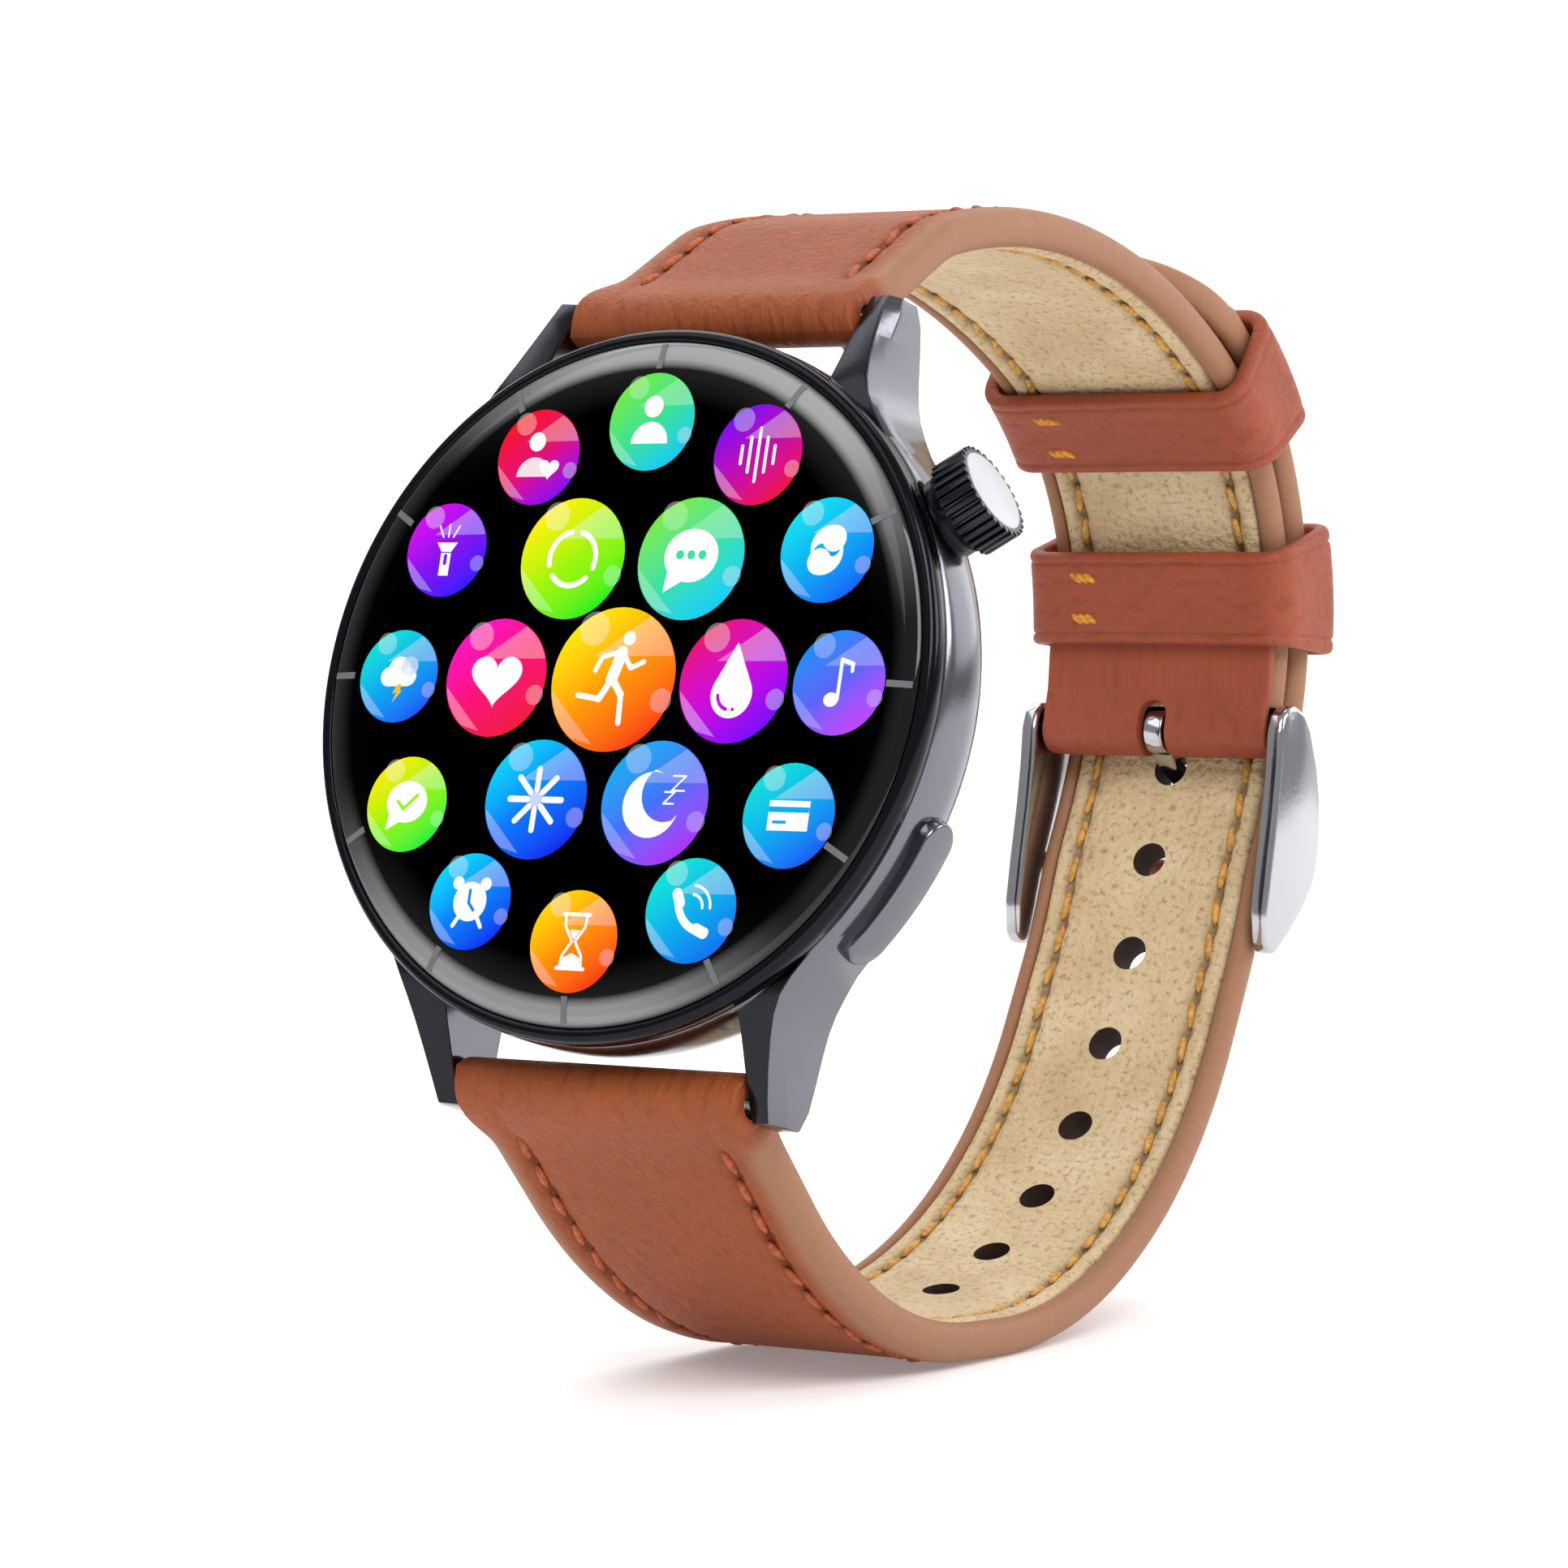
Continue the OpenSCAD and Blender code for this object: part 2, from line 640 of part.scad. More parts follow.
module short_strap_leather_back() color(chestnut) place() difference() {
  intersection() {
    layer(short_pts, short_steps, short_split, 6, 1, seam, half_t);
    taper();
  }
  flex_cut(short_pts[short_split]);
  cross_rod(fold_r, -20, 20, pin_y, pin_z);
}

module short_strap_lining_back() color(lining_tan) place() difference() {
  intersection() {
    layer(short_pts, short_steps, short_split, 6, 1, -half_t, seam);
    taper();
  }
  flex_cut(short_pts[short_split]);
  cross_rod(fold_r, -20, 20, pin_y, pin_z);
}

module long_strap_leather_front() leather_front(
  long_pts, long_steps, long_split - 1, -1, long_pts[long_split], -bar_z, lever_dir_lower, 0.25
);

module long_strap_lining_front()
  lining_front(long_pts, long_steps, long_split - 1, -1, long_pts[long_split], -bar_z);

// Plan of the tail's rounded tip, laid along the strap where it ends
module tip_round() translate([0, tail_tip[0], tail_tip[1]]) rotate([tail_tip[2], 0, 0]) difference() {
  translate([-20, -tail_half_w, -5]) cube([40, tail_half_w + 5, 10]);
  translate([0, -tail_half_w - 0.2, -6]) cylinder(r = tail_half_w + 0.2, h = 12);
}

module long_back(inner, outer) difference() {
  intersection() {
    layer(long_pts, long_steps, long_split, len(long_steps) - 1, -1, inner, outer);
    taper();
  }
  flex_cut(long_pts[long_split]);
  strap_holes();
  tip_round();
}

module long_strap_leather_back() color(chestnut) place() long_back(seam, half_t);
module long_strap_lining_back() color(lining_tan) place() long_back(-half_t, seam);

// Leather turned round the buckle pin and glued up the inner face
module buckle_fold() color(keeper_brown) place() difference() {
  intersection() {
    union() {
      cross_rod(fold_r, -tail_half_w, tail_half_w, pin_y, pin_z);
      layer(short_pts, short_steps, 5, 6, 1, -half_t - fold_t, -half_t);
    }
    taper();
  }
  cross_rod(pin_r + slide_gap, -20, 20, pin_y, pin_z);
  translate([-tongue_w / 2 - 0.3, pin_y - 5, pin_z - 5]) cube([tongue_w + 0.6, 10, 7]);
}

// A leather band round both layers, bent about the centre of the back
module keeper(at, inner_r) color(keeper_brown) place()
  translate([0, back_centre[0], back_centre[1]]) rotate([90, 0, 90])
  rotate([0, 0, at - keeper_w / back_r * 90 / PI])
  rotate_extrude(angle = keeper_w / back_r * 180 / PI, $fn = 180) difference() {
    translate([inner_r - keeper_gap - keeper_t, -keeper_half_w - keeper_t])
      square([tail_r + half_t - inner_r + 2 * keeper_gap + 2 * keeper_t, 2 * (keeper_half_w + keeper_t)]);
    translate([inner_r - keeper_gap, -keeper_half_w])
      square([tail_r + half_t - inner_r + 2 * keeper_gap, 2 * keeper_half_w]);
  }

module fixed_keeper() keeper(fixed_at, back_r - half_t - fold_t);
module floating_keeper() keeper(floating_at, back_r - half_t);

// ---- Buckle ----

// Side view of one arm, as depth and height from the hinge pin
module arm_outline() {
  circle(r = 2);
  polygon([
    [-2, 0], [-1.5, -5], [-1.2, -13], [-0.2, -15.6], [1.6, -16], [4.6, -12.2],
    [6.1, -9], [5.6, -5], [3.6, -0.6], [1.6, 1.3]
  ]);
}

module buckle_frame() color(steel) place() difference() {
  union() {
    for (s = [-1, 1]) translate([s > 0 ? arm_in : -arm_in - arm_t, pin_y, pin_z])
      rotate([90, 0, 90]) linear_extrude(arm_t) arm_outline();
    cross_rod(far_bar_r, -arm_in - 0.3, arm_in + 0.3, far_bar_y, far_bar_z);
  }
  cross_rod(pin_r + slide_gap, -20, 20, pin_y, pin_z);
}

module buckle_pin() color(steel) place()
  cross_rod(pin_r, -arm_in - arm_t + 0.1, arm_in + arm_t - 0.1, pin_y, pin_z);

module buckle_tongue() color(steel) place() difference() {
  union() {
    cross_rod(ring_r, -tongue_w / 2, tongue_w / 2, pin_y, pin_z);
    translate([-tongue_w / 2, pin_y, pin_z]) rotate([90, 0, 90]) linear_extrude(tongue_w) polygon([
      [0.1, -1.4], [1.6, -2.5], [4.9, -3.45], [5.45, -4.4], [6.15, -10.1], [7, -9.9],
      [6.3, -4], [5.5, -2.6], [2.1, -1.65], [1.4, -0.7]
    ]);
  }
  cross_rod(pin_r + slide_gap, -20, 20, pin_y, pin_z);
}

case_middle();
bezel_ring();
cover_glass();
glass_seal();
display_panel();
display_flex();
display_bracket();
main_board();
shield_can();
battery();
vibration_motor();
speaker();
microphone();
back_cover();
back_seal();
back_screws();
sensor_window();
sensor_board();
charging_contacts();
charging_magnets();
crown();
crown_cap();
crown_stem();
crown_tube();
crown_seal();
crown_yoke();
crown_spring();
crown_switch();
side_button();
button_clip();
button_seal();
button_switch();
upper_bar_tube();
upper_bar_tip();
upper_release_tip();
upper_bar_spring();
lower_bar_tube();
lower_bar_tip();
lower_release_tip();
lower_bar_spring();
short_strap_leather_front();
short_strap_leather_back();
short_strap_lining_front();
short_strap_lining_back();
long_strap_leather_front();
long_strap_leather_back();
long_strap_lining_front();
long_strap_lining_back();
buckle_fold();
fixed_keeper();
floating_keeper();
buckle_frame();
buckle_tongue();
buckle_pin();
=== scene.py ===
"""Round smartwatch on a stitched leather strap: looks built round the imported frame.

Pieces are made in millimetres in the watch's own frame, where X is the crown side, Y is the depth
behind the front of the glass and Z is 12 o'clock, and are then put in place all together.
"""
import json
import math
import random

import bmesh
import bpy
from mathutils import Matrix, Vector

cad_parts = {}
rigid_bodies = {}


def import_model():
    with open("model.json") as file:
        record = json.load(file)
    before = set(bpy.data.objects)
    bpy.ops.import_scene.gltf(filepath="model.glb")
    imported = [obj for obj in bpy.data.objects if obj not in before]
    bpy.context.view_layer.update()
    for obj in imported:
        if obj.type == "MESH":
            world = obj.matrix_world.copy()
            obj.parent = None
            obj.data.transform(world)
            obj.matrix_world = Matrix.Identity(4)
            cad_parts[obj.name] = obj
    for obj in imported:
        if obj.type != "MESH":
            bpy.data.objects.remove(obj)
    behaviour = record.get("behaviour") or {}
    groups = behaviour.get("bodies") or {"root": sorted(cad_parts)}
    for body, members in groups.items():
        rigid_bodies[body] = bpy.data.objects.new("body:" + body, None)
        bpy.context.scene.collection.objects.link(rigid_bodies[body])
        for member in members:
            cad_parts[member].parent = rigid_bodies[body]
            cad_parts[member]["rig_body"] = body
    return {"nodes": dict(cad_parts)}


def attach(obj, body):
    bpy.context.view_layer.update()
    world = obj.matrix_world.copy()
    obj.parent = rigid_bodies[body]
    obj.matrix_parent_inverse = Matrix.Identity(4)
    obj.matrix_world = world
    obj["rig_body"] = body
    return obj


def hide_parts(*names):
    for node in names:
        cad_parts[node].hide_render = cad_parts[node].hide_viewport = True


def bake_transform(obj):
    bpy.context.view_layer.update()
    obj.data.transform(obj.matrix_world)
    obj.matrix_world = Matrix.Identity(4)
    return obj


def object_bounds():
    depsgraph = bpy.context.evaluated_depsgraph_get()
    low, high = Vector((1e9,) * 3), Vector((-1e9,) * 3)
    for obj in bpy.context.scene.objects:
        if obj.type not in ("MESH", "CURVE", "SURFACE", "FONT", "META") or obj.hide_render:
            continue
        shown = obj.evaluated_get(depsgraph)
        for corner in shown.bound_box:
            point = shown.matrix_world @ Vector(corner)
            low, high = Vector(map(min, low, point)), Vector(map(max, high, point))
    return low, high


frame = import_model()
cad_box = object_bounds()

# ---- Sizes, as in the part's source, in millimetres ----
LEAN = math.radians(15)
SEAT = 12.0
CASE_R = 23.0
CASE_FRONT = 1.9
CAVITY_R = 20.2
GLASS_R = 22.1
GLASS_T = 1.3
BAR = (6.2, 25.2)
BAR_R = 0.8
EYE_R = 1.95
HALF_T = 1.4
HALF_W_LUG = 10.85
HALF_W_TAIL = 9.2
TAPER = (8.0, 70.0)
PLACE = Matrix.Scale(0.001, 4) @ Matrix.Rotation(-LEAN, 4, "X") @ Matrix.Translation((0, -SEAT, 0))
ACROSS = Matrix.Rotation(math.pi / 2, 4, "Y")
THROUGH = Matrix.Rotation(math.pi / 2, 4, "X")


# ---- Shader helpers ----
class Wire:
    """A shader socket that Python's operators work on."""

    def __init__(self, socket, make):
        self.socket = socket
        self.make = make

    def _maths(self, operation, a, b=0.0):
        return self.make("ShaderNodeMath", {"operation": operation}, {0: a, 1: b})

    def __add__(self, other):
        return self._maths("ADD", self, other)

    def __rsub__(self, other):
        return self._maths("SUBTRACT", other, self)

    def __mul__(self, other):
        return self._maths("MULTIPLY", self, other)

    __radd__ = __add__
    __rmul__ = __mul__


class Finish:
    """One material and the few calls that its nodes are made with."""

    def __init__(self, name, **sockets):
        self.material = bpy.data.materials.new(name)
        self.material.use_nodes = True
        self.nodes = self.material.node_tree.nodes
        self.links = self.material.node_tree.links
        self.shader = self.nodes["Principled BSDF"]
        self.coords = self.nodes.new("ShaderNodeTexCoord")
        for key, value in sockets.items():
            self.set(key, value)

    def set(self, key, value):
        """Sets or links one of the shader's sockets; the key's underscores stand for spaces."""
        self._feed(self.shader.inputs[key.replace("_", " ")], value)

    def _feed(self, socket, value):
        if isinstance(value, Wire):
            self.links.new(value.socket, socket)
        elif isinstance(value, tuple) and socket.type == "RGBA":
            socket.default_value = (*value[:3], 1.0)
        else:
            socket.default_value = value

    def node(self, kind, settings=None, sockets=None, out=0):
        node = self.nodes.new(kind)
        for key, value in (settings or {}).items():
            if key == "stops":
                for i, (at, colour) in enumerate(value):
                    stop = node.color_ramp.elements[i] if i < 2 else node.color_ramp.elements.new(at)
                    stop.position = at
                    stop.color = (*colour, 1.0)
            else:
                setattr(node, key, value)
        for key, value in (sockets or {}).items():
            self._feed(node.inputs[key], value)
        return Wire(node.outputs[out], self.node)

    def where(self, source="Object"):
        return Wire(self.coords.outputs[source], self.node)

    def noise(self, scale, detail=4.0, rough=0.55, at=None, stretch=None):
        at = at or self.where()
        if stretch:
            at = self.node("ShaderNodeVectorMath", {"operation": "MULTIPLY"}, {0: at, 1: stretch})
        sockets = {"Vector": at, "Scale": scale, "Detail": detail, "Roughness": rough}
        return self.node("ShaderNodeTexNoise", None, sockets)

    def cells(self, scale, at=None, feature="F1", smooth=0.0):
        settings = {"feature": feature}
        sockets = {"Vector": at or self.where(), "Scale": scale}
        if feature == "SMOOTH_F1":
            sockets["Smoothness"] = smooth
        return self.node("ShaderNodeTexVoronoi", settings, sockets)

    def ramp(self, factor, *stops):
        stops = [(at, colour if isinstance(colour, tuple) else (colour,) * 3) for at, colour in stops]
        return self.node("ShaderNodeValToRGB", {"stops": stops}, {0: factor})

    def mix(self, factor, a, b):
        return self.node("ShaderNodeMix", {"data_type": "RGBA"}, {0: factor, 6: a, 7: b}, out=2)

    def bump(self, height, distance, strength=1.0):
        sockets = {"Height": height, "Distance": distance, "Strength": strength}
        self.set("Normal", self.node("ShaderNodeBump", None, sockets))


def srgb(r, g, b):
    """Screen values from 0 to 255 as the linear colour that a shader takes."""
    return tuple((c / 255) ** 2.2 for c in (r, g, b))


# ---- Mesh helpers ----
def settle(name, bm, material, place=PLACE, smooth=True, angle=None):
    """Puts a bmesh in place and makes it an object."""
    bm.transform(place)
    bm.normal_update()
    mesh = bpy.data.meshes.new(name)
    bm.to_mesh(mesh)
    bm.free()
    piece = bpy.data.objects.new(name, mesh)
    bpy.context.scene.collection.objects.link(piece)
    for finish in material if isinstance(material, (list, tuple)) else [material]:
        mesh.materials.append(finish.material)
    if smooth:
        mesh.shade_smooth()
    if angle is not None:
        mesh.set_sharp_from_angle(angle=math.radians(angle))
    return piece


def finished(piece):
    """Bakes a piece's modifiers into its mesh."""
    bpy.context.view_layer.update()
    graph = bpy.context.evaluated_depsgraph_get()
    mesh = bpy.data.meshes.new_from_object(piece.evaluated_get(graph))
    piece.modifiers.clear()
    old, piece.data = piece.data, mesh
    bpy.data.meshes.remove(old)
    return piece


def shade(piece, angle):
    """Smooth shading, with a crease where faces meet at more than an angle."""
    piece.data.shade_smooth()
    piece.data.set_sharp_from_angle(angle=math.radians(angle))


def bevelled(piece, width, segments, angle, harden=False):
    """Rounds a piece's edges, by a width in millimetres, where they turn by more than an angle."""
    ease = piece.modifiers.new("ease", "BEVEL")
    ease.width, ease.segments, ease.limit_method = width * 0.001, segments, "ANGLE"
    ease.angle_limit = math.radians(angle)
    ease.harden_normals = harden
    return finished(piece)


def join(bm, part):
    """Adds a second bmesh to the first."""
    mesh = bpy.data.meshes.new("part")
    part.to_mesh(mesh)
    part.free()
    bm.from_mesh(mesh)
    bpy.data.meshes.remove(mesh)
    return bm


def lay_uv(bm, flat):
    """Gives each vertex its place on the flat leather, in millimetres, as the UV map in metres."""
    uv = bm.loops.layers.uv.new("UVMap")
    for face in bm.faces:
        for loop in face.loops:
            across, along = flat[loop.vert]
            loop[uv].uv = (across * 0.001, along * 0.001)


def carve(piece, tools, walls=None):
    """Cuts closed shapes, given as bmeshes in the watch's frame, out of a piece.
    walls is the finish of the cut faces, where it isn't the piece's own."""
    joined = bmesh.new()
    for tool in tools:
        join(joined, tool)
    cutter = settle("cutter", joined, walls or [])
    cut = piece.modifiers.new("cut", "BOOLEAN")
    cut.object = cutter
    cut.solver = "EXACT"
    if walls:
        cut.material_mode = "TRANSFER"
    finished(piece)
    bpy.data.objects.remove(cutter)
    return piece


def rod(radius, depth, turn=Matrix.Identity(4), at=(0, 0, 0), segments=32):
    bm = bmesh.new()
    bmesh.ops.create_cone(
        bm, cap_ends=True, segments=segments, radius1=radius, radius2=radius, depth=depth,
        matrix=Matrix.Translation(at) @ turn,
    )
    return bm


# ---- The strap's path, as [depth, height, heading] and steps of [radius, turn, length] ----
def centre_of(p, step):
    k = math.copysign(step[0], step[1])
    return (p[0] - k * math.sin(p[2]), p[1] + k * math.cos(p[2])), k


def step_end(p, step):
    if step[0] == 0:
        return (p[0] + step[2] * math.cos(p[2]), p[1] + step[2] * math.sin(p[2]), p[2])
    (y, z), k = centre_of(p, step)
    heading = p[2] + math.radians(step[1])
    return (y + k * math.sin(heading), z - k * math.cos(heading), heading)


def step_length(step):
    return step[2] if step[0] == 0 else step[0] * abs(math.radians(step[1]))


class Path:
    def __init__(self, start, steps):
        self.start = (start[0], start[1], math.radians(start[2]))
        self.steps = steps
        self.points = [self.start]
        for step in steps:
            self.points.append(step_end(self.points[-1], step))
        self.length = sum(step_length(step) for step in steps)

    def at(self, s):
        """The point and heading at length s; before the start the path runs straight back."""
        if s < 0:
            return step_end(self.start, (0, 0, s))
        for p, step in zip(self.points, self.steps):
            length = step_length(step)
            if s <= length:
                break
            s -= length
        if step[0] == 0:
            return step_end(p, (0, 0, s))
        return step_end(p, (step[0], math.copysign(math.degrees(s / step[0]), step[1]), 0))

    def length_to(self, n):
        return sum(step_length(step) for step in self.steps[:n])


PIN_DROP = 2.75
SHORT = Path(
    (BAR[0], BAR[1], 42),
    [(0, 0, 10.6), (10, -16, 0), (52, -11, 0), (52, -31, 0), (22, -56, 0), (22, -18, 0), (0, 0, PIN_DROP)],
)
BACK = centre_of(SHORT.points[4], SHORT.steps[4])[0]
LAP = 2 * HALF_T + 0.3
BACK_R = 22.0
TAIL_R = BACK_R + LAP


def long_path():
    """The long strap: two straight runs are sized so that it meets the back's curve exactly."""
    lead = [(0, 0, 10), (34, 18, 0), (30, 27, 0)]
    sweep = (34, 64, 0)
    rise = [(40, 9, 0), (25, -9, 0), (44, 14, 0)]
    head = Path((BAR[0], -BAR[1], -33), lead)
    lead_end = head.points[-1]
    loose = step_end(lead_end, sweep)
    risen = loose
    for step in rise:
        risen = step_end(risen, step)
    miss = (BACK[0] + TAIL_R - risen[0], BACK[1] - risen[1])
    a = (math.cos(lead_end[2]), math.sin(lead_end[2]))
    b = (math.cos(loose[2]), math.sin(loose[2]))
    det = a[0] * b[1] - a[1] * b[0]
    bottom = (miss[0] * b[1] - miss[1] * b[0]) / det
    back = (a[0] * miss[1] - a[1] * miss[0]) / det
    tail = [(TAIL_R, 74, 0), (52 + LAP, 9, 0)]
    return Path((BAR[0], -BAR[1], -33), lead + [(0, 0, bottom), sweep, (0, 0, back)] + rise + tail)


LONG = long_path()
PIN = (BACK[0] + BACK_R - 0.45, BACK[1] - PIN_DROP)


def half_width(depth):
    share = min(1, max(0, (depth - TAPER[0]) / (TAPER[1] - TAPER[0])))
    return HALF_W_LUG + (HALF_W_TAIL - HALF_W_LUG) * share


# ---- Camera, floor and light ----
def aim(obj, target):
    obj.rotation_euler = (Vector(target) - obj.location).to_track_quat("-Z", "Y").to_euler()


def make_stage():
    target = Vector((0.00907, -0.00599, -0.00341))
    azimuth, elevation, distance = math.radians(33.07), math.radians(2.35), 0.35
    camera = bpy.data.objects.new("camera", bpy.data.cameras.new("camera"))
    flat = math.cos(elevation)
    away = Vector((math.sin(azimuth) * flat, -math.cos(azimuth) * flat, math.sin(elevation)))
    camera.location = target + away * distance
    aim(camera, target)
    camera.data.sensor_width = 36.0
    camera.data.lens = 128.8
    camera.data.clip_start = 0.01
    bpy.context.scene.collection.objects.link(camera)
    bpy.context.scene.camera = camera

    # A floor that curves up into a backdrop behind the watch, square to the camera
    bm = bmesh.new()
    half_wide, bend_at, bend_r, top = 1.6, 0.9, 0.5, 1.6
    run = [(-1.2, 0.0), (bend_at, 0.0)]
    for t in (math.radians(d) for d in range(6, 91, 6)):
        run.append((bend_at + bend_r * math.sin(t), bend_r - bend_r * math.cos(t)))
    run.append((bend_at + bend_r, top))
    line = [bm.verts.new((-half_wide, y, z)) for y, z in run]
    edges = [bm.edges.new(pair) for pair in zip(line, line[1:])]
    out = bmesh.ops.extrude_edge_only(bm, edges=edges)
    moved = [g for g in out["geom"] if isinstance(g, bmesh.types.BMVert)]
    bmesh.ops.translate(bm, verts=moved, vec=(2 * half_wide, 0, 0))
    bmesh.ops.recalc_face_normals(bm, faces=bm.faces[:])
    floor_finish = Finish("studio floor", Base_Color=(0.9, 0.9, 0.9), Roughness=0.9)
    tone = floor_finish.noise(3.0, 2.0)
    floor_finish.set("Base_Color", floor_finish.mix(tone, (0.86, 0.86, 0.86), (0.9, 0.9, 0.9)))
    floor_finish.shader.inputs["Specular IOR Level"].default_value = 0.1
    floor_finish.shader.inputs["Emission Color"].default_value = (1, 1, 1, 1)
    floor_finish.shader.inputs["Emission Strength"].default_value = 0.2
    turn = Matrix.Translation((0, 0, cad_box[0][2])) @ Matrix.Rotation(azimuth, 4, "Z")
    floor = settle("floor", bm, floor_finish, turn)

    world = bpy.data.worlds.new("studio")
    world.use_nodes = True
    world.node_tree.nodes["Background"].inputs["Color"].default_value = (1, 1, 1, 1)
    world.node_tree.nodes["Background"].inputs["Strength"].default_value = 0.42
    bpy.context.scene.world = world
    bpy.context.scene.view_settings.view_transform = "Standard"

    backdrop = (-0.75, 1.15, 0.25)
    lamps = [
        ("key", (0.45, -0.4, 0.5), target, 0.4, 3.2),
        ("top", (-0.3, -0.45, 0.6), target, 0.5, 1.2),
        ("side", (0.6, 0.35, 0.3), target, 0.3, 1.6),
        ("rear", (0.3, 0.84, 0.33), target, 0.55, 1.35),
        ("wash", (-0.45, 0.5, 1.2), backdrop, 1.2, 14.0),
    ]
    for name, spot, goal, size, watts in lamps:
        lamp = bpy.data.lights.new(name, "AREA")
        lamp.size = size
        lamp.energy = watts
        holder = bpy.data.objects.new(name, lamp)
        holder.location = spot
        aim(holder, goal)
        bpy.context.scene.collection.objects.link(holder)


make_stage()


# ---- Finishes ----
def leather(name, face, edge, grain=1.0, coat=0.12):
    """Smooth-grained leather; the rolled edge is plainer and lighter than the face."""
    f = Finish(name, Roughness=0.5, Coat_Roughness=0.45, Specular_IOR_Level=0.28)
    f.shader.inputs["Coat Weight"].default_value = coat
    uv = f.where("UV")
    blotch = f.noise(60, 4, 0.6, uv)
    fine = f.noise(1800, 3, 0.6, uv)
    wrinkle = f.noise(1100, 5, 0.62, uv, (1.0, 0.6, 1.0))
    pores = f.cells(2600, uv)
    dark = tuple(c * 0.86 for c in face)
    light = tuple(min(1, c * 1.1) for c in face)
    tone = f.mix(f.ramp(blotch, (0.3, 0.0), (0.72, 1.0)), dark, light)
    tone = f.mix(f.ramp(wrinkle, (0.34, 0.5), (0.5, 0.0)), tone, tuple(c * 0.62 for c in face))
    rim = f.node("ShaderNodeAttribute", {"attribute_name": "rim"}, None, out=2)
    sunk = f.node("ShaderNodeAttribute", {"attribute_name": "sunk"}, None, out=2)
    # Painted shade: the face is darker in the stitch dimples, after the sunk attribute.
    tone = f.mix(sunk * 0.75, tone, tuple(c * 0.4 for c in face))
    f.set("Base_Color", f.mix(rim, tone, f.mix(fine, edge, tuple(c * 0.85 for c in edge))))
    f.set("Roughness", f.ramp(fine, (0.2, 0.5), (0.8, 0.68)))
    height = (wrinkle * 0.9 + fine * 0.25 + pores * 0.3) * (1 - rim * 0.85)
    f.bump(height, 0.00022 * grain)
    return f


def plain_metal(name, colour, rough=0.2, metallic=1.0, streak=None):
    f = Finish(name, Base_Color=colour, Metallic=metallic, Roughness=rough)
    smudge = f.noise(160, 4, 0.6, None, streak)
    f.set("Roughness", f.ramp(smudge, (0.3, rough * 0.8), (0.75, min(1, rough * 1.3))))
    f.bump(f.noise(2600, 2, 0.5, None, streak), 0.000004)
    return f


def mottled(name, scale, dark, light, rough):
    """A plain finish whose colour drifts between two shades."""
    f = Finish(name, Roughness=rough)
    f.set("Base_Color", f.mix(f.noise(scale), dark, light))
    return f


gunmetal = plain_metal("gunmetal coating", srgb(115, 115, 122), 0.17)
# A darker copy of the gunmetal coating for the lugs' front facets: painted shade.
shaded_gunmetal = plain_metal("gunmetal facet", srgb(48, 48, 53), 0.2)
bezel_black = plain_metal("black bezel coating", srgb(40, 41, 45), 0.16)
knurl_black = plain_metal("black crown coating", srgb(52, 53, 58), 0.24)
chrome = plain_metal("polished buckle steel", srgb(180, 181, 186), 0.12)
satin_steel = plain_metal("satin steel", srgb(188, 189, 194), 0.42, 0.55)
chestnut = leather("chestnut leather", srgb(152, 77, 40), srgb(158, 112, 84), 1.3, 0.05)
russet = leather("russet keeper leather", srgb(152, 74, 50), srgb(150, 76, 54), 0.8)


def lining_finish():
    """Pebbled beige lining with dark hollows between the pebbles."""
    f = Finish("beige lining", Roughness=0.62, Specular_IOR_Level=0.4)
    uv = f.where("UV")
    bend = f.noise(500, 3, 0.6, uv)
    pebble = f.cells(1500, uv, "SMOOTH_F1", 0.35)
    crease = f.noise(1900, 3, 0.62, uv)
    blotch = f.noise(120, 4, 0.6, uv)
    tone = f.mix(f.ramp(blotch, (0.3, 0.0), (0.75, 1.0)), srgb(196, 170, 128), srgb(224, 202, 164))
    tone = f.mix(f.ramp(crease, (0.32, 0.7), (0.47, 0.0)), tone, srgb(150, 118, 76))
    sunk = f.node("ShaderNodeAttribute", {"attribute_name": "sunk"}, None, out=2)
    # Painted shade: the lining is darker in the stitch dimples, after the sunk attribute.
    f.set("Base_Color", f.mix(sunk * 0.8, tone, srgb(120, 92, 54)))
    f.set("Roughness", f.ramp(bend, (0.3, 0.5), (0.7, 0.7)))
    f.bump(pebble * 0.5 + crease * 0.9, 0.0003)
    return f


lining = lining_finish()


def thread_finish(name, colour):
    """Waxed thread, with a shade that changes along its twist."""
    f = Finish(name, Roughness=0.6)
    twist = f.noise(2600, 2, 0.5)
    shadow = tuple(c * 0.55 for c in colour)
    f.set("Base_Color", f.mix(f.ramp(twist, (0.35, 0.0), (0.65, 1.0)), shadow, colour))
    f.bump(twist, 0.0001)
    return f


hole_wall = mottled("cut leather", 1500, srgb(34, 20, 14), srgb(62, 38, 26), 0.85)
rust_thread = thread_finish("rust thread", srgb(190, 92, 40))
gold_thread = thread_finish("gold thread", srgb(224, 164, 78))
amber_thread = thread_finish("amber thread", srgb(238, 158, 48))


# ---- Strap layers ----
STITCH_PITCH = 2.75
STITCH_INSET = 3.0
FIELD_INSET = 4.0
FIRST_DIMPLE = 3.4


def smooth(x, a, b):
    t = min(1.0, max(0.0, (x - a) / (b - a)))
    return t * t * (3 - 2 * t)


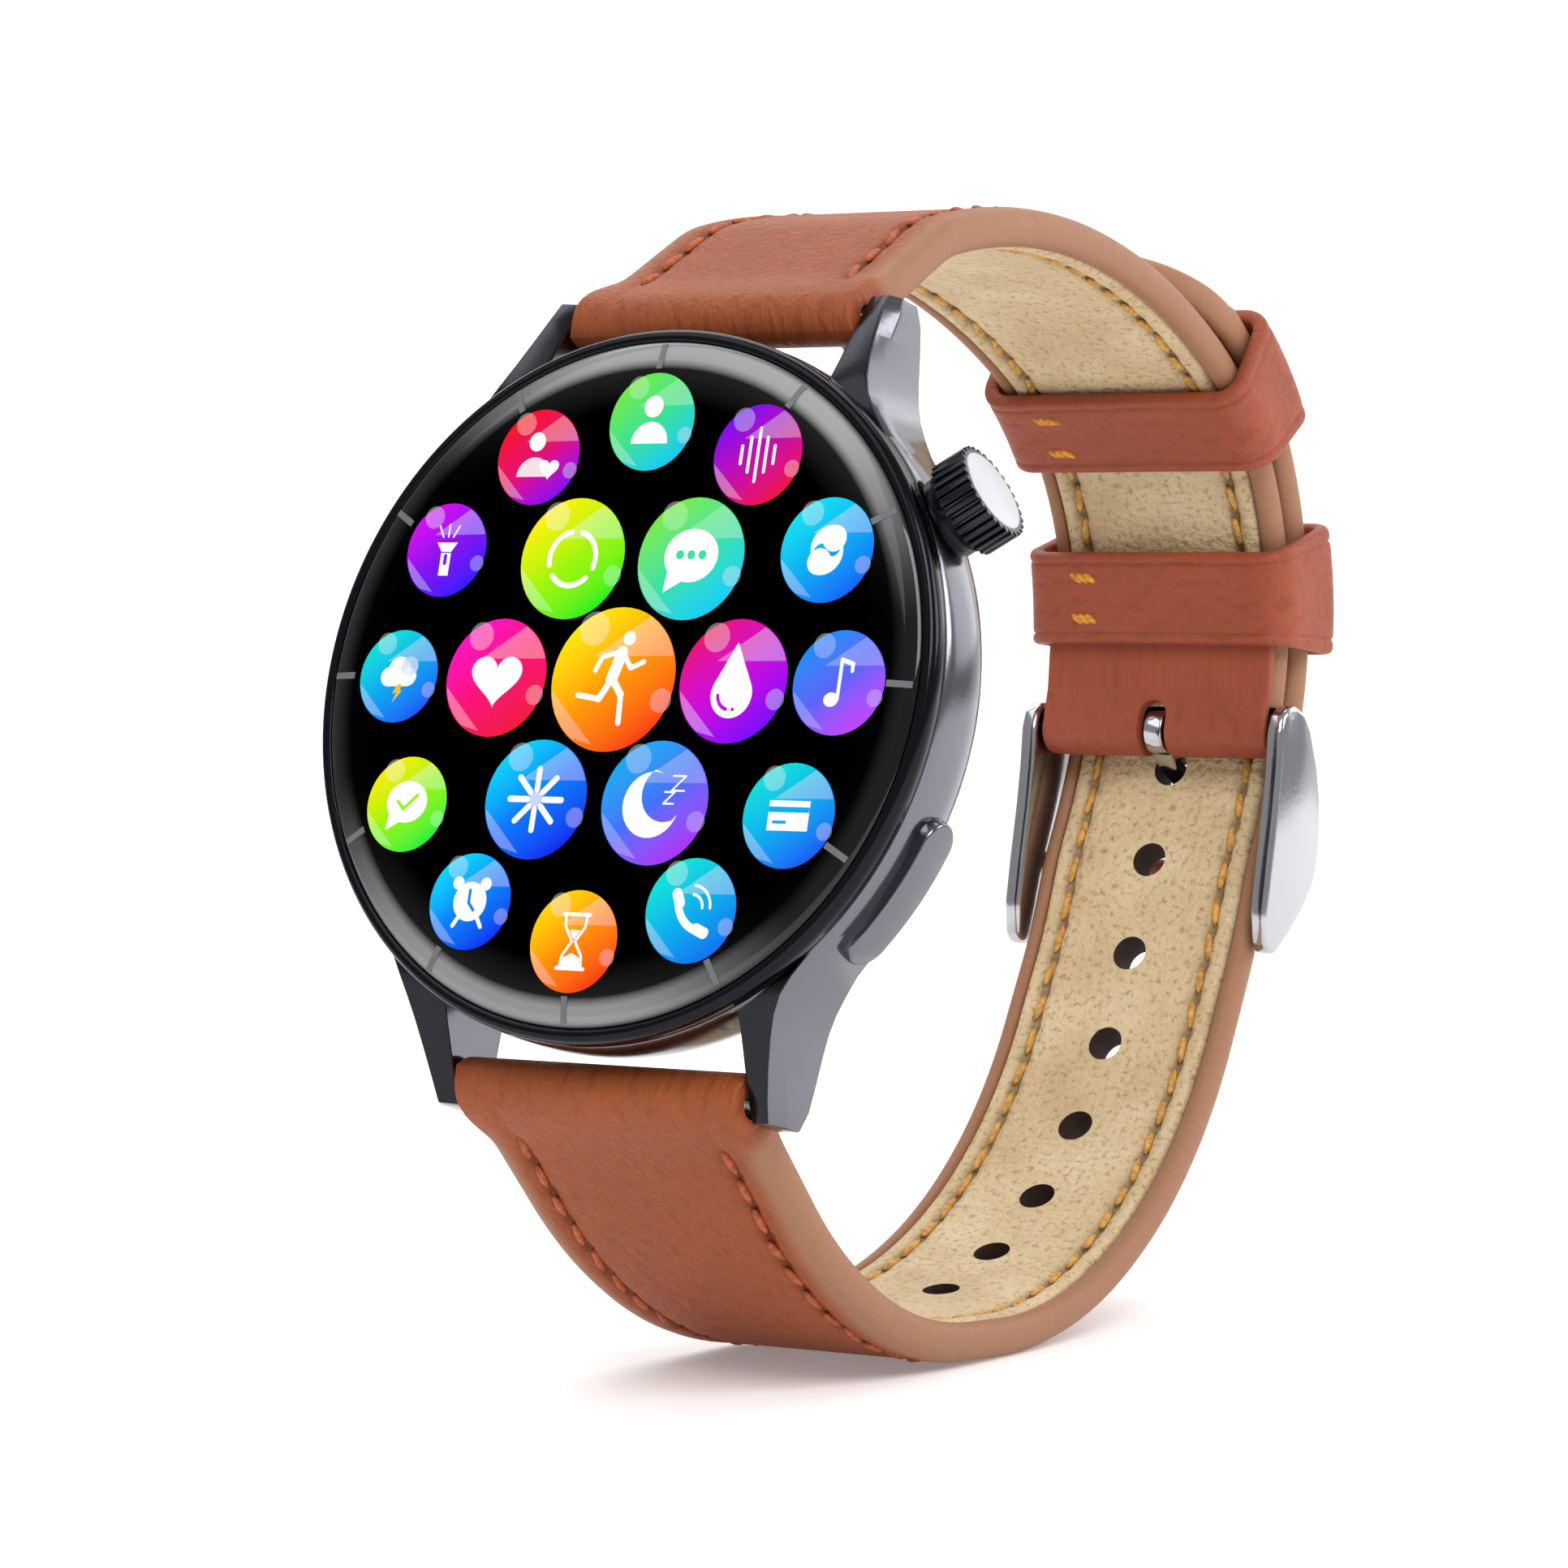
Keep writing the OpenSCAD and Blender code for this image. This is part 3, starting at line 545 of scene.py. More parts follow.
class Layer:
    """A layer of strap along a path. Lift is measured from the middle of the strap's thickness
    towards the side given by out, which is 1 where that lies left of travel."""

    def __init__(self, path, out, stop, round_tip, first, last_dimple):
        self.path, self.out, self.first = path, out, first
        self.round_tip = round_tip
        self.last_dimple = last_dimple
        self.tip_r = HALF_W_TAIL + 0.2
        self.straight = stop - self.tip_r if round_tip else stop

    def outline(self, s, inset):
        """The length and half width of the line that runs at an inset from the strap's edge.
        The edge is squarer where the end is rolled round the spring bar."""
        if s <= self.straight:
            if self.first < 0 and inset < 1.9:
                inset *= 0.3 + 0.7 * smooth(s, 0.5, 5.0)
            return s, max(0.0, half_width(self.path.at(s)[0]) - inset)
        turn = (s - self.straight) / self.tip_r
        reach = max(0.0, self.tip_r - inset)
        return self.straight + reach * math.sin(turn), reach * math.cos(turn)

    def point(self, s, across, lift):
        y, z, heading = self.path.at(s)
        n = self.out * lift
        return Vector((across, y - n * math.sin(heading), z + n * math.cos(heading)))

    def stations(self):
        """A quarter of a stitch apart, closer together at a rolled end and round the tip."""
        early, start = [], self.first
        if self.first < 0:
            early = [self.first * math.cos(math.radians(a)) for a in range(0, 90, 10)]
            start = 0.0
        n = round((self.straight - start) / (STITCH_PITCH / 4))
        run = [start + (self.straight - start) * k / n for k in range(n + 1)]
        steps = 26 if self.round_tip else 0
        tip = [self.straight + self.tip_r * math.pi / 2 * k / steps for k in range(1, steps + 1)]
        return early + run + tip

    def dimple(self, inset, s):
        """How deep the stitch line pulls the surface in."""
        if not FIRST_DIMPLE <= s <= self.last_dimple:
            return 0.0
        across = math.exp(-(((inset - STITCH_INSET) / 0.42) ** 2))
        return across * (0.12 + 0.34 * math.cos(math.pi * s / STITCH_PITCH) ** 6)


def skin(layer, edge, height, rim):
    """Half a layer as a grid: from the middle of its face, out round the edge and back under it.
    edge is a list of (inset, lift, stitched side); height and rim give the last say on each point."""
    fields = 8
    columns = [("face", k / fields) for k in range(fields, 0, -1)] + list(edge)
    columns += [("back", k / fields) for k in range(1, fields + 1)]
    stations = layer.stations()
    bm = bmesh.new()
    across, along = len(columns) - 1, len(stations) - 1
    bmesh.ops.create_grid(bm, x_segments=across, y_segments=along, size=0.5)
    tint = bm.verts.layers.float.new("rim")
    shade = bm.verts.layers.float.new("sunk")
    flat = {}
    for v in bm.verts:
        column = columns[round((v.co.x + 0.5) * across)]
        s = stations[round((v.co.y + 0.5) * along)]
        width = layer.tip_r if s > layer.straight else half_width(layer.path.at(s)[0])
        if column[0] in ("face", "back"):
            start = FIELD_INSET if column[0] == "face" else edge[-1][0]
            inset = start + column[1] * (width - start)
            lift = edge[0][1] if column[0] == "face" else edge[-1][1]
        else:
            inset, lift = column[0], column[1]
        length, half = layer.outline(s, inset)
        top = column[0] != "back" and (column[0] == "face" or column[2])
        lift = height(layer, lift, inset, s, top, column[0] == "back")
        v.co = layer.point(length, half, lift)
        v[tint] = rim(inset, top) * smooth(s, 1.5, 4.0)
        # sunk: how far a stitch pulls the face in, which the finishes darken as painted shade.
        v[shade] = min(1.0, layer.dimple(inset, s) / 0.3) if top else 0.0
        flat[v] = (half, length)
    lay_uv(bm, flat)
    other = bm.copy()
    other_uv = other.loops.layers.uv["UVMap"]
    for face in other.faces:
        for loop in face.loops:
            loop[other_uv].uv.x *= -1
    bmesh.ops.scale(other, vec=(-1, 1, 1), verts=other.verts[:])
    bmesh.ops.reverse_faces(other, faces=other.faces[:])
    join(bm, other)
    bmesh.ops.remove_doubles(bm, verts=bm.verts[:], dist=0.003)
    open_edges = [e for e in bm.edges if e.is_boundary]
    if open_edges:
        bmesh.ops.holes_fill(bm, edges=open_edges, sides=0)
    bmesh.ops.recalc_face_normals(bm, faces=bm.faces[:])
    return bm


def eye_height(s):
    """Half the thickness near a lug, where the end is rolled round the spring bar."""
    if s <= 0:
        return math.sqrt(max(0.0, EYE_R ** 2 - s ** 2))
    return HALF_T + (EYE_R - HALF_T) * (1 - smooth(s, 0.2, 4.5))


LEATHER_EDGE = [
    (4.0, 1.36, True), (3.6, 1.35, True), (3.35, 1.3, True), (3.15, 1.25, True), (3.0, 1.23, True),
    (2.85, 1.25, True), (2.65, 1.3, True), (2.4, 1.37, True), (1.9, 1.4, True), (1.4, 1.39, True),
    (0.95, 1.3, True), (0.55, 1.08, True), (0.25, 0.75, True), (0.06, 0.3, True), (0.0, -0.15, False),
    (0.05, -0.55, False), (0.2, -0.9, False), (0.5, -1.18, False), (0.85, -1.28, False),
    (1.15, -1.2, False), (1.3, -1.0, False), (1.36, -0.3, False),
]
LINING_EDGE = [
    (4.0, 1.33, True), (3.5, 1.32, True), (3.3, 1.22, True), (3.12, 1.12, True), (3.0, 1.1, True),
    (2.88, 1.12, True), (2.7, 1.24, True), (2.5, 1.37, True), (2.2, 1.4, True), (1.85, 1.39, True),
    (1.6, 1.27, True), (1.46, 1.05, True), (1.42, 0.7, True), (1.42, 0.25, False),
]
EYE_END = 2.6


def leather_height(layer, lift, inset, s, top, back):
    """Leather: rolled at the lug, and sunk on its inner side where the lining lies."""
    full = eye_height(s) / HALF_T
    if top:
        return lift * full - layer.dimple(inset, s)
    if back or inset > 1.3:
        inner = -1.3 * full
        return inner + (-0.3 - inner) * smooth(s, EYE_END, EYE_END + 0.3)
    return lift * full


def leather_rim(inset, top):
    """How much of the plain rolled edge's tint a point has."""
    return 1.0 if not top else 1.0 - smooth(inset, 0.9, 1.9)


def lining_height(layer, lift, inset, s, top, back):
    return lift - layer.dimple(inset, s) if top else lift


def lining_rim(inset, top):
    return 0.0


def build_strap(name, path, out, round_tip, lug_cut, tools, stitches):
    """Builds a strap's leather and lining, with their holes, and their stitches up to a length."""
    outside = Layer(path, out, path.length, round_tip, -EYE_R, stitches)
    inside = Layer(path, -out, path.length, round_tip, EYE_END + 0.1, stitches)
    body = settle(name + "_leather", skin(outside, LEATHER_EDGE, leather_height, leather_rim), chestnut)
    inner = settle(name + "_lining", skin(inside, LINING_EDGE, lining_height, lining_rim), lining)
    carve(body, [lug_cut], hole_wall)
    carve(body, tools(), hole_wall)
    carve(inner, tools(), hole_wall)
    for piece in (body, inner):
        shade(piece, 60)
    outer_thread = sew(name + "_outer_stitches", outside, 1.22, stitches, rust_thread)
    inner_thread = sew(name + "_inner_stitches", inside, 1.16, stitches, gold_thread)
    for piece in (body, inner, outer_thread, inner_thread):
        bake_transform(piece)
    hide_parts(name + "_leather_front", name + "_leather_back")
    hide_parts(name + "_lining_front", name + "_lining_back")


def sew(name, layer, lift, stop, thread):
    """A row of slightly slanted stitches along both edges, and round the tip."""
    bm = bmesh.new()
    count = int((stop - 3.0) / STITCH_PITCH)
    chance = random.Random(name)
    half_wide, half_long, half_high = 0.3, 1.16, 0.28
    for k in range(count):
        s = (1.5 + k) * STITCH_PITCH
        for sign in (-1, 1):
            length, half = layer.outline(s, STITCH_INSET)
            ahead_length, ahead_half = layer.outline(s + 0.2, STITCH_INSET)
            spot = layer.point(length, sign * half, lift + chance.uniform(-0.03, 0.03))
            ahead = layer.point(ahead_length, sign * ahead_half, lift)
            above = layer.point(length, sign * half, lift + 1)
            up = (above - spot).normalized()
            along = (ahead - spot).normalized()
            along = Matrix.Rotation(chance.uniform(0.05, 0.16) * sign, 3, up) @ along
            over = along.cross(up)
            frame_of = Matrix((over, along, up)).transposed().to_4x4()
            size = Matrix.Diagonal((half_wide, half_long * chance.uniform(0.93, 1.05), half_high, 1))
            place = Matrix.Translation(spot) @ frame_of @ size
            bmesh.ops.create_uvsphere(bm, u_segments=8, v_segments=5, radius=1, matrix=place)
    return settle(name, bm, thread)


def row_point(y, z, x=0.0):
    """A place in the watch's frame as a place in the shared frame, in metres."""
    return tuple(PLACE @ Vector((x, y, z)))


def lug_cutter(z, radius, lever):
    """The bore for a spring bar, joined to the slot for its release lever."""
    bm = rod(radius, 30, ACROSS, (0, BAR[0], z), 40)
    slot = bmesh.new()
    at = Matrix.Translation((7.5, BAR[0], z)) @ Matrix.Rotation(math.radians(lever), 4, "X")
    size = Matrix.Diagonal((2.8, 1.7, 4.0, 1))
    bmesh.ops.create_cube(slot, size=1, matrix=at @ Matrix.Translation((0, 0, 2.0)) @ size)
    return join(bm, slot)


HOLE_PITCH = 7.3
HOLE_R = 1.3
HOLES = 10
HOLES_PAST_PRONG = 2
PRONG_S = LONG.length_to(9) - (BACK[1] - (PIN[1] - 2.5))


def strap_hole_cutters():
    holes = []
    for i in range(HOLES):
        y, z, heading = LONG.at(PRONG_S + (HOLES_PAST_PRONG - i) * HOLE_PITCH)
        holes.append(rod(HOLE_R, 7, Matrix.Rotation(heading, 4, "X"), (0, y, z), 32))
    return holes


def pin_cutter():
    return [rod(1.87, 30, ACROSS, (0, PIN[0], PIN[1]), 48)]


def make_straps():
    y, z = SHORT.points[3][:2]
    reach, heading = 3.5, math.radians(15)
    a = row_point(y - reach * math.cos(heading), z - reach * math.sin(heading))
    b = row_point(y + reach * math.cos(heading), z + reach * math.sin(heading))
    cut = lug_cutter(BAR[1], BAR_R, -118)
    build_strap(
        "short_strap", SHORT, 1, False, cut, pin_cutter,
        SHORT.length - 6,
    )
    y, z = LONG.points[2][:2]
    a, b = row_point(y - 4.0, z), row_point(y + 4.0, z)
    cut = lug_cutter(-BAR[1], 1.0, -62)
    build_strap(
        "long_strap", LONG, -1, True, cut, strap_hole_cutters,
        LONG.length - 1.5,
    )


make_straps()


# ---- The leather folded round the buckle pin ----
def make_fold():
    path = Path((PIN[0] + 1.4, PIN[1], -90), [(1.4, -180, 0), (0, 0, PIN_DROP), (20.15, 19, 0)])
    bm = bmesh.new()
    rows, columns = 60, 40
    profile = []
    width, thick = HALF_W_TAIL + 0.02, 0.44
    for k in range(columns):
        t = k / columns * 2 * math.pi
        x = math.copysign(min(1.0, abs(math.cos(t)) ** 0.2), math.cos(t)) * width
        n = math.copysign(min(1.0, abs(math.sin(t)) ** 0.45), math.sin(t)) * thick
        profile.append((x, n))
    bmesh.ops.create_grid(bm, x_segments=columns, y_segments=rows, size=0.5)
    flat = {}
    for v in bm.verts:
        i = round((v.co.x + 0.5) * columns) % columns
        j = round((v.co.y + 0.5) * rows)
        s = path.length * j / rows
        x, n = profile[i]
        y, z, heading = path.at(s)
        v.co = (x, y + n * math.sin(heading), z - n * math.cos(heading))
        flat[v] = (x, s)
    lay_uv(bm, flat)
    bmesh.ops.remove_doubles(bm, verts=bm.verts[:], dist=0.002)
    bmesh.ops.holes_fill(bm, edges=[e for e in bm.edges if e.is_boundary], sides=0)
    bmesh.ops.recalc_face_normals(bm, faces=bm.faces[:])
    fold = settle("pin_fold", bm, russet)
    notch = bmesh.new()
    size = Matrix.Diagonal((2.3, 10, 6, 1))
    bmesh.ops.create_cube(notch, size=1, matrix=Matrix.Translation((0, PIN[0], PIN[1] - 2.2)) @ size)
    head = rod(1.15, 8, THROUGH, (0, PIN[0] - 3, PIN[1] + 0.8), 32)
    carve(fold, [notch])
    carve(fold, [head])
    shade(fold, 50)
    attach(fold, "strap_back")
    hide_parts("buckle_fold")


make_fold()


# ---- Keepers ----
KEEPER_T = 1.1
KEEPER_GAP = 0.25


def rounded_loop(half_x, low, high, radius, count):
    """Points and normals evenly round a rectangle with rounded corners."""
    wide, tall = half_x - radius, (high - low) / 2 - radius
    middle = (high + low) / 2
    sides = [2 * tall, 2 * wide, 2 * tall, 2 * wide]
    arc = radius * math.pi / 2
    total = sum(sides) + 4 * arc
    corners = [(wide, tall), (-wide, tall), (-wide, -tall), (wide, -tall)]
    ring = []
    for k in range(count):
        d = total * k / count
        for i in range(4):
            ahead = Vector((-math.sin(i * math.pi / 2), math.cos(i * math.pi / 2)))
            out = Vector((math.cos(i * math.pi / 2), math.sin(i * math.pi / 2)))
            length = sides[i]
            corner = Vector(corners[i])
            if d <= length:
                spot = corner + out * radius - ahead * (length - d)
                normal = out
                break
            d -= length
            if d <= arc:
                normal = out * math.cos(d / radius) + ahead * math.sin(d / radius)
                spot = corner + normal * radius
                break
            d -= arc
        ring.append((spot.x, spot.y + middle, normal.x, normal.y))
    return ring


KEEPER_PROFILE = [
    (-0.55, 3.7), (-0.4, 3.85), (-0.1, 3.9), (0.2, 3.88), (0.42, 3.78), (0.53, 3.6), (0.55, 3.35),
    (0.53, 3.16), (0.42, 3.04), (0.42, 2.96), (0.53, 2.84), (0.56, 2.5), (0.57, 1.2), (0.575, 0.0),
]


def keeper_place(at, across, radius, x=0.0):
    """A point at a radius from the back's centre, at so far across a keeper that sits at an angle."""
    angle = math.radians(at) + across / BACK_R
    return (x, BACK[0] + radius * math.cos(angle), BACK[1] + radius * math.sin(angle))


def make_keeper(name, node, at, inner_r, body):
    room = KEEPER_GAP + KEEPER_T / 2
    half_x = half_width(BACK[0] + 12) + room
    low, high = inner_r - room, TAIL_R + HALF_T + room
    ring = rounded_loop(half_x, low, high, 1.7, 150)
    profile = KEEPER_PROFILE + [(u, -v) for u, v in reversed(KEEPER_PROFILE[:-1])]
    profile += [(-0.55, -1.6), (-0.55, 0.0), (-0.55, 1.6)]
    rows, columns = len(ring), len(profile)
    bm = bmesh.new()
    bmesh.ops.create_grid(bm, x_segments=columns, y_segments=rows, size=0.5)
    flat = {}
    for v in bm.verts:
        i = round((v.co.x + 0.5) * columns) % columns
        j = round((v.co.y + 0.5) * rows) % rows
        x, r, nx, nr = ring[j]
        u, across = profile[i]
        v.co = keeper_place(at, across, r + u * nr, x + u * nx)
        flat[v] = (across, x + r)
    lay_uv(bm, flat)
    bmesh.ops.remove_doubles(bm, verts=bm.verts[:], dist=0.002)
    bmesh.ops.recalc_face_normals(bm, faces=bm.faces[:])
    keeper = settle(name, bm, russet, angle=60)
    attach(keeper, body)
    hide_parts(node)

    thread = bmesh.new()
    lean = Matrix.Rotation(math.radians(35), 4, "Y") @ Matrix.Diagonal((0.62, 0.3, 0.24, 1))
    for across in (-1.8, 1.8):
        spot = Matrix.Translation(keeper_place(at, across, low - KEEPER_T / 2 + 0.06, -5.6))
        stand = spot @ Matrix.Rotation(math.radians(at) + across / BACK_R, 4, "X")
        for offset in (-0.55, 0.0, 0.55):
            place = stand @ Matrix.Translation((offset, 0, 0)) @ lean
            bmesh.ops.create_uvsphere(thread, u_segments=12, v_segments=8, radius=1, matrix=place)
    stitch = settle(name + "_stitches", thread, amber_thread)
    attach(stitch, body)


make_keeper("fixed_keeper_loop", "fixed_keeper", 19.5, BACK_R - HALF_T - 0.9, "strap_back")
make_keeper("loose_keeper_loop", "floating_keeper", 58, BACK_R - HALF_T, "loose_keeper")


# ---- Metal pieces that keep the frame's shape, with their edges eased ----
def eased(node, name, finish, width):
    """A merged copy of a node with rounded edges, which stands for the node."""
    source = frame["nodes"][node]
    bm = bmesh.new()
    bm.from_mesh(source.data)
    bmesh.ops.remove_doubles(bm, verts=bm.verts[:], dist=0.000002)
    bmesh.ops.dissolve_limit(bm, angle_limit=math.radians(1), verts=bm.verts[:], edges=bm.edges[:])
    for layer in list(bm.loops.layers.uv):
        bm.loops.layers.uv.remove(layer)
    piece = settle(name, bm, finish, Matrix.Identity(4))
    bevelled(piece, width, 3, 30, harden=True)
    shade(piece, 40)
    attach(piece, source["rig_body"])
    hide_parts(node)
    return piece


eased("crown", "crown_wheel", knurl_black, 0.06)
eased("side_button", "side_key", gunmetal, 0.22)
eased("buckle_tongue", "buckle_prong", chrome, 0.16)
eased("buckle_pin", "buckle_axle", chrome, 0.12)


def make_buckle():
    """Two broad polished arms joined by the far bar."""
    outline = [
        (-1.9, 0.9), (-2.0, -0.4), (-1.6, -3), (-1.35, -6), (-1.2, -10), (-1.0, -13.2), (-0.3, -15.4),
        (0.5, -16), (1.5, -15.9), (3.0, -14.3), (4.7, -12.1), (5.9, -9.9), (6.1, -8.4), (6.0, -6.4),
        (5.4, -3.9), (4.3, -1.5), (2.6, 0.9), (1.3, 1.9), (0.0, 2.1), (-1.1, 1.75),
    ]
    arm_in, arm_t = HALF_W_TAIL + 0.35, 1.3
    bm = bmesh.new()
    for s in (-1, 1):
        ring = [bm.verts.new((s * arm_in, PIN[0] + y, PIN[1] + z)) for y, z in outline]
        face = bm.faces.new(ring)
        out = bmesh.ops.extrude_face_region(bm, geom=[face])
        moved = [g for g in out["geom"] if isinstance(g, bmesh.types.BMVert)]
        bmesh.ops.translate(bm, verts=moved, vec=(s * arm_t, 0, 0))
    bmesh.ops.recalc_face_normals(bm, faces=bm.faces[:])
    frame_piece = settle("buckle_arms", bm, chrome)
    bevelled(frame_piece, 0.42, 4, 40)
    bar_at = (0, PIN[0] + 5.1, PIN[1] - 9.2)
    bar = settle("far_bar", rod(0.9, 2 * arm_in + 0.8, ACROSS, bar_at, 40), chrome)
    for piece in (frame_piece, bar):
        shade(piece, 35)
        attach(piece, "buckle")
    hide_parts("buckle_frame")


make_buckle()


# ---- Case ----
CROWN_ANGLE = 31
CROWN_DEPTH = 5.2


def turned(name, profile, finish, cuts=(), steps=144, angle=30):
    """Spins a closed profile of (radius, depth) points about the dial's axis."""
    bm = bmesh.new()
    ring = [bm.verts.new((r, y, 0)) for r, y in profile]
    edges = [bm.edges.new((ring[i], ring[(i + 1) % len(ring)])) for i in range(len(ring))]
    bmesh.ops.spin(
        bm, geom=ring + edges, cent=(0, 0, 0), axis=(0, 1, 0), angle=2 * math.pi, steps=steps, use_merge=True,
    )
    bmesh.ops.remove_doubles(bm, verts=bm.verts[:], dist=0.001)
    bmesh.ops.recalc_face_normals(bm, faces=bm.faces[:])
    piece = settle(name, bm, finish, angle=angle)
    if cuts:
        carve(piece, cuts)
        shade(piece, angle)
    return piece


def radial(angle, depth):
    """Local Z along the dial's radius, at an angle above 3 o'clock."""
    return Matrix.Translation((0, depth, 0)) @ Matrix.Rotation(math.radians(90 - angle), 4, "Y")


def stadium(length, height, low, high, place):
    """A bar with round ends between two heights on local Z."""
    bm = bmesh.new()
    ring = []
    for s in (1, -1):
        for k in range(17):
            t = math.radians(s * 90 - 180 * k / 16)
            x = s * (length - height) / 2 + height / 2 * math.cos(t)
            ring.append(bm.verts.new((x, height / 2 * math.sin(t), low)))
    face = bm.faces.new(ring)
    out = bmesh.ops.extrude_face_region(bm, geom=[face])
    moved = [g for g in out["geom"] if isinstance(g, bmesh.types.BMVert)]
    bmesh.ops.translate(bm, verts=moved, vec=(0, 0, high - low))
    bmesh.ops.recalc_face_normals(bm, faces=bm.faces[:])
    bm.transform(place)
    return bm


def lug_mesh():
    """One lug, drawn at the upper crown side: rings of corners up its height, joined one to the next."""
    # each ring: height, then (x, depth) of inner front, outer front, outer shoulder, outer back, inner back
    rings = [
        (13.8, (9.2, 2.1), (18.1, 2.1), (18.45, 3.2), (17.7, 8.0), (9.2, 9.0)),
        (15.4, (9.6, 2.0), (16.95, 1.95), (17.35, 3.2), (16.7, 8.2), (9.6, 9.1)),
        (16.6, (10.0, 1.95), (16.0, 1.9), (16.3, 3.2), (15.7, 8.4), (10.0, 9.2)),
        (17.8, (10.4, 1.95), (15.15, 1.85), (15.4, 3.3), (14.9, 8.7), (10.4, 9.3)),
        (19.0, (10.8, 2.1), (14.45, 1.9), (14.65, 3.5), (14.25, 8.9), (10.8, 9.35)),
        (20.2, (11.1, 2.55), (13.95, 2.3), (14.15, 3.9), (13.85, 9.0), (11.1, 9.35)),
        (21.5, (11.15, 3.2), (13.55, 2.9), (13.85, 4.4), (13.65, 9.0), (11.15, 9.35)),
        (23.4, (11.15, 4.15), (13.1, 3.85), (13.55, 5.2), (13.5, 8.9), (11.15, 9.25)),
        (25.2, (11.15, 5.1), (12.75, 4.8), (13.35, 6.1), (13.35, 8.75), (11.15, 9.1)),
        (26.5, (11.15, 5.85), (12.55, 5.55), (13.1, 6.6), (13.1, 8.35), (11.15, 8.7)),
    ]
    bm = bmesh.new()
    last = None
    for z, *corners in rings:
        ring = [bm.verts.new((x, y, z)) for x, y in corners]
        if last:
            for i in range(5):
                bm.faces.new((last[i], last[(i + 1) % 5], ring[(i + 1) % 5], ring[i]))
        else:
            bm.faces.new(ring)
        last = ring
    bm.faces.new(last)
    bmesh.ops.recalc_face_normals(bm, faces=bm.faces[:])
    # Faces that look to the front take the darker copy of the coating: painted shade.
    for face in bm.faces:
        if face.normal.y < -0.7:
            face.material_index = 1
    return bm


def make_case():
    profile = [
        (CAVITY_R, CASE_FRONT), (22.95, CASE_FRONT), (CASE_R, 2.0), (23.08, 2.4), (23.12, 2.9),
        (23.12, 4.1), (23.08, 4.9), (CASE_R, 5.5), (22.8, 6.3), (22.52, 6.95), (22.15, 7.6),
        (21.7, 8.2), (21.1, 8.8), (20.4, 9.4), (19.9, 9.8), (19.5, 10.08),
        (19.2, 10.25), (18.9, 10.3), (18.9, 9.4), (17.1, 9.4), (17.1, 8.4), (CAVITY_R, 8.4),
    ]
    crown = radial(CROWN_ANGLE, CROWN_DEPTH)
    key = radial(-CROWN_ANGLE, CROWN_DEPTH)
    cuts = [
        rod(2.72, 8, crown @ Matrix.Translation((0, 0, 26.5)), segments=48),
        rod(1.5, 12, crown @ Matrix.Translation((0, 0, 22)), segments=32),
        stadium(10.64, 3.24, 21.2, 26, key),
        rod(0.75, 12, key @ Matrix.Translation((0, 0, 18)), segments=24),
    ]
    body = turned("case_body", profile, gunmetal, cuts)
    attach(body, "case")
    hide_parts("case_middle")
    corners = bmesh.new()
    for sx in (1, -1):
        for sz in (1, -1):
            one = lug_mesh()
            bmesh.ops.scale(one, vec=(sx, 1, sz), verts=one.verts[:])
            join(corners, one)
    bmesh.ops.recalc_face_normals(corners, faces=corners.faces[:])
    lugs = settle("case_lugs", corners, [gunmetal, shaded_gunmetal])
    bevelled(lugs, 0.14, 2, 20)
    inner = rod(CAVITY_R + 0.1, 20, THROUGH, (0, 8, 0), 96)
    bores = [rod(0.45, 25.1, ACROSS, (0, BAR[0], s * BAR[1]), 24) for s in (-1, 1)]
    carve(lugs, [inner])
    carve(lugs, bores)
    shade(lugs, 20)
    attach(lugs, "case")


make_case()


def make_crown_cap():
    """A plain pale disc let into the end of the crown."""
    bm = rod(2.7, 0.5, radial(CROWN_ANGLE, CROWN_DEPTH) @ Matrix.Translation((0, 0, 26.05)), segments=72)
    rims = [e for e in bm.edges if len(e.link_faces) == 2 and e.calc_face_angle(0) > 1]
    bmesh.ops.bevel(bm, geom=rims, offset=0.08, segments=3, profile=0.5, affect="EDGES", material=-1)
    cap = settle("crown_face", bm, satin_steel, angle=40)
    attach(cap, "crown")
    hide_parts("crown_cap")


make_crown_cap()


# ---- Bezel and glass ----
def glass_finish():
    """Black cover glass, with a painted reflection: pale crescents painted into its colour where its edge
    curves down towards 12 and 6 o'clock.
    """
    f = Finish("cover glass", Base_Color=(0.0, 0.0, 0.0), Roughness=0.08, IOR=1.5)
    f.set("Specular_IOR_Level", 0.0)
    edge = f.node("ShaderNodeAttribute", {"attribute_name": "edge"}, None, out=2)
    sheen = f.node("ShaderNodeAttribute", {"attribute_name": "sheen"}, None, out=2)
    smear = f.noise(60, 3)
    # Painted reflection: the pale grey is painted into the base colour where the mask is set.
    glow = sheen * f.ramp(smear, (0.2, 0.9), (0.8, 1.0))
    f.set("Base_Color", f.mix(glow, (0.0, 0.0, 0.0), (0.3, 0.3, 0.305)))
    f.set("Roughness", edge * 0.1 + 0.06)
    f.set("Coat_Weight", edge * 0.9)
    f.shader.inputs["Coat Roughness"].default_value = 0.05
    return f


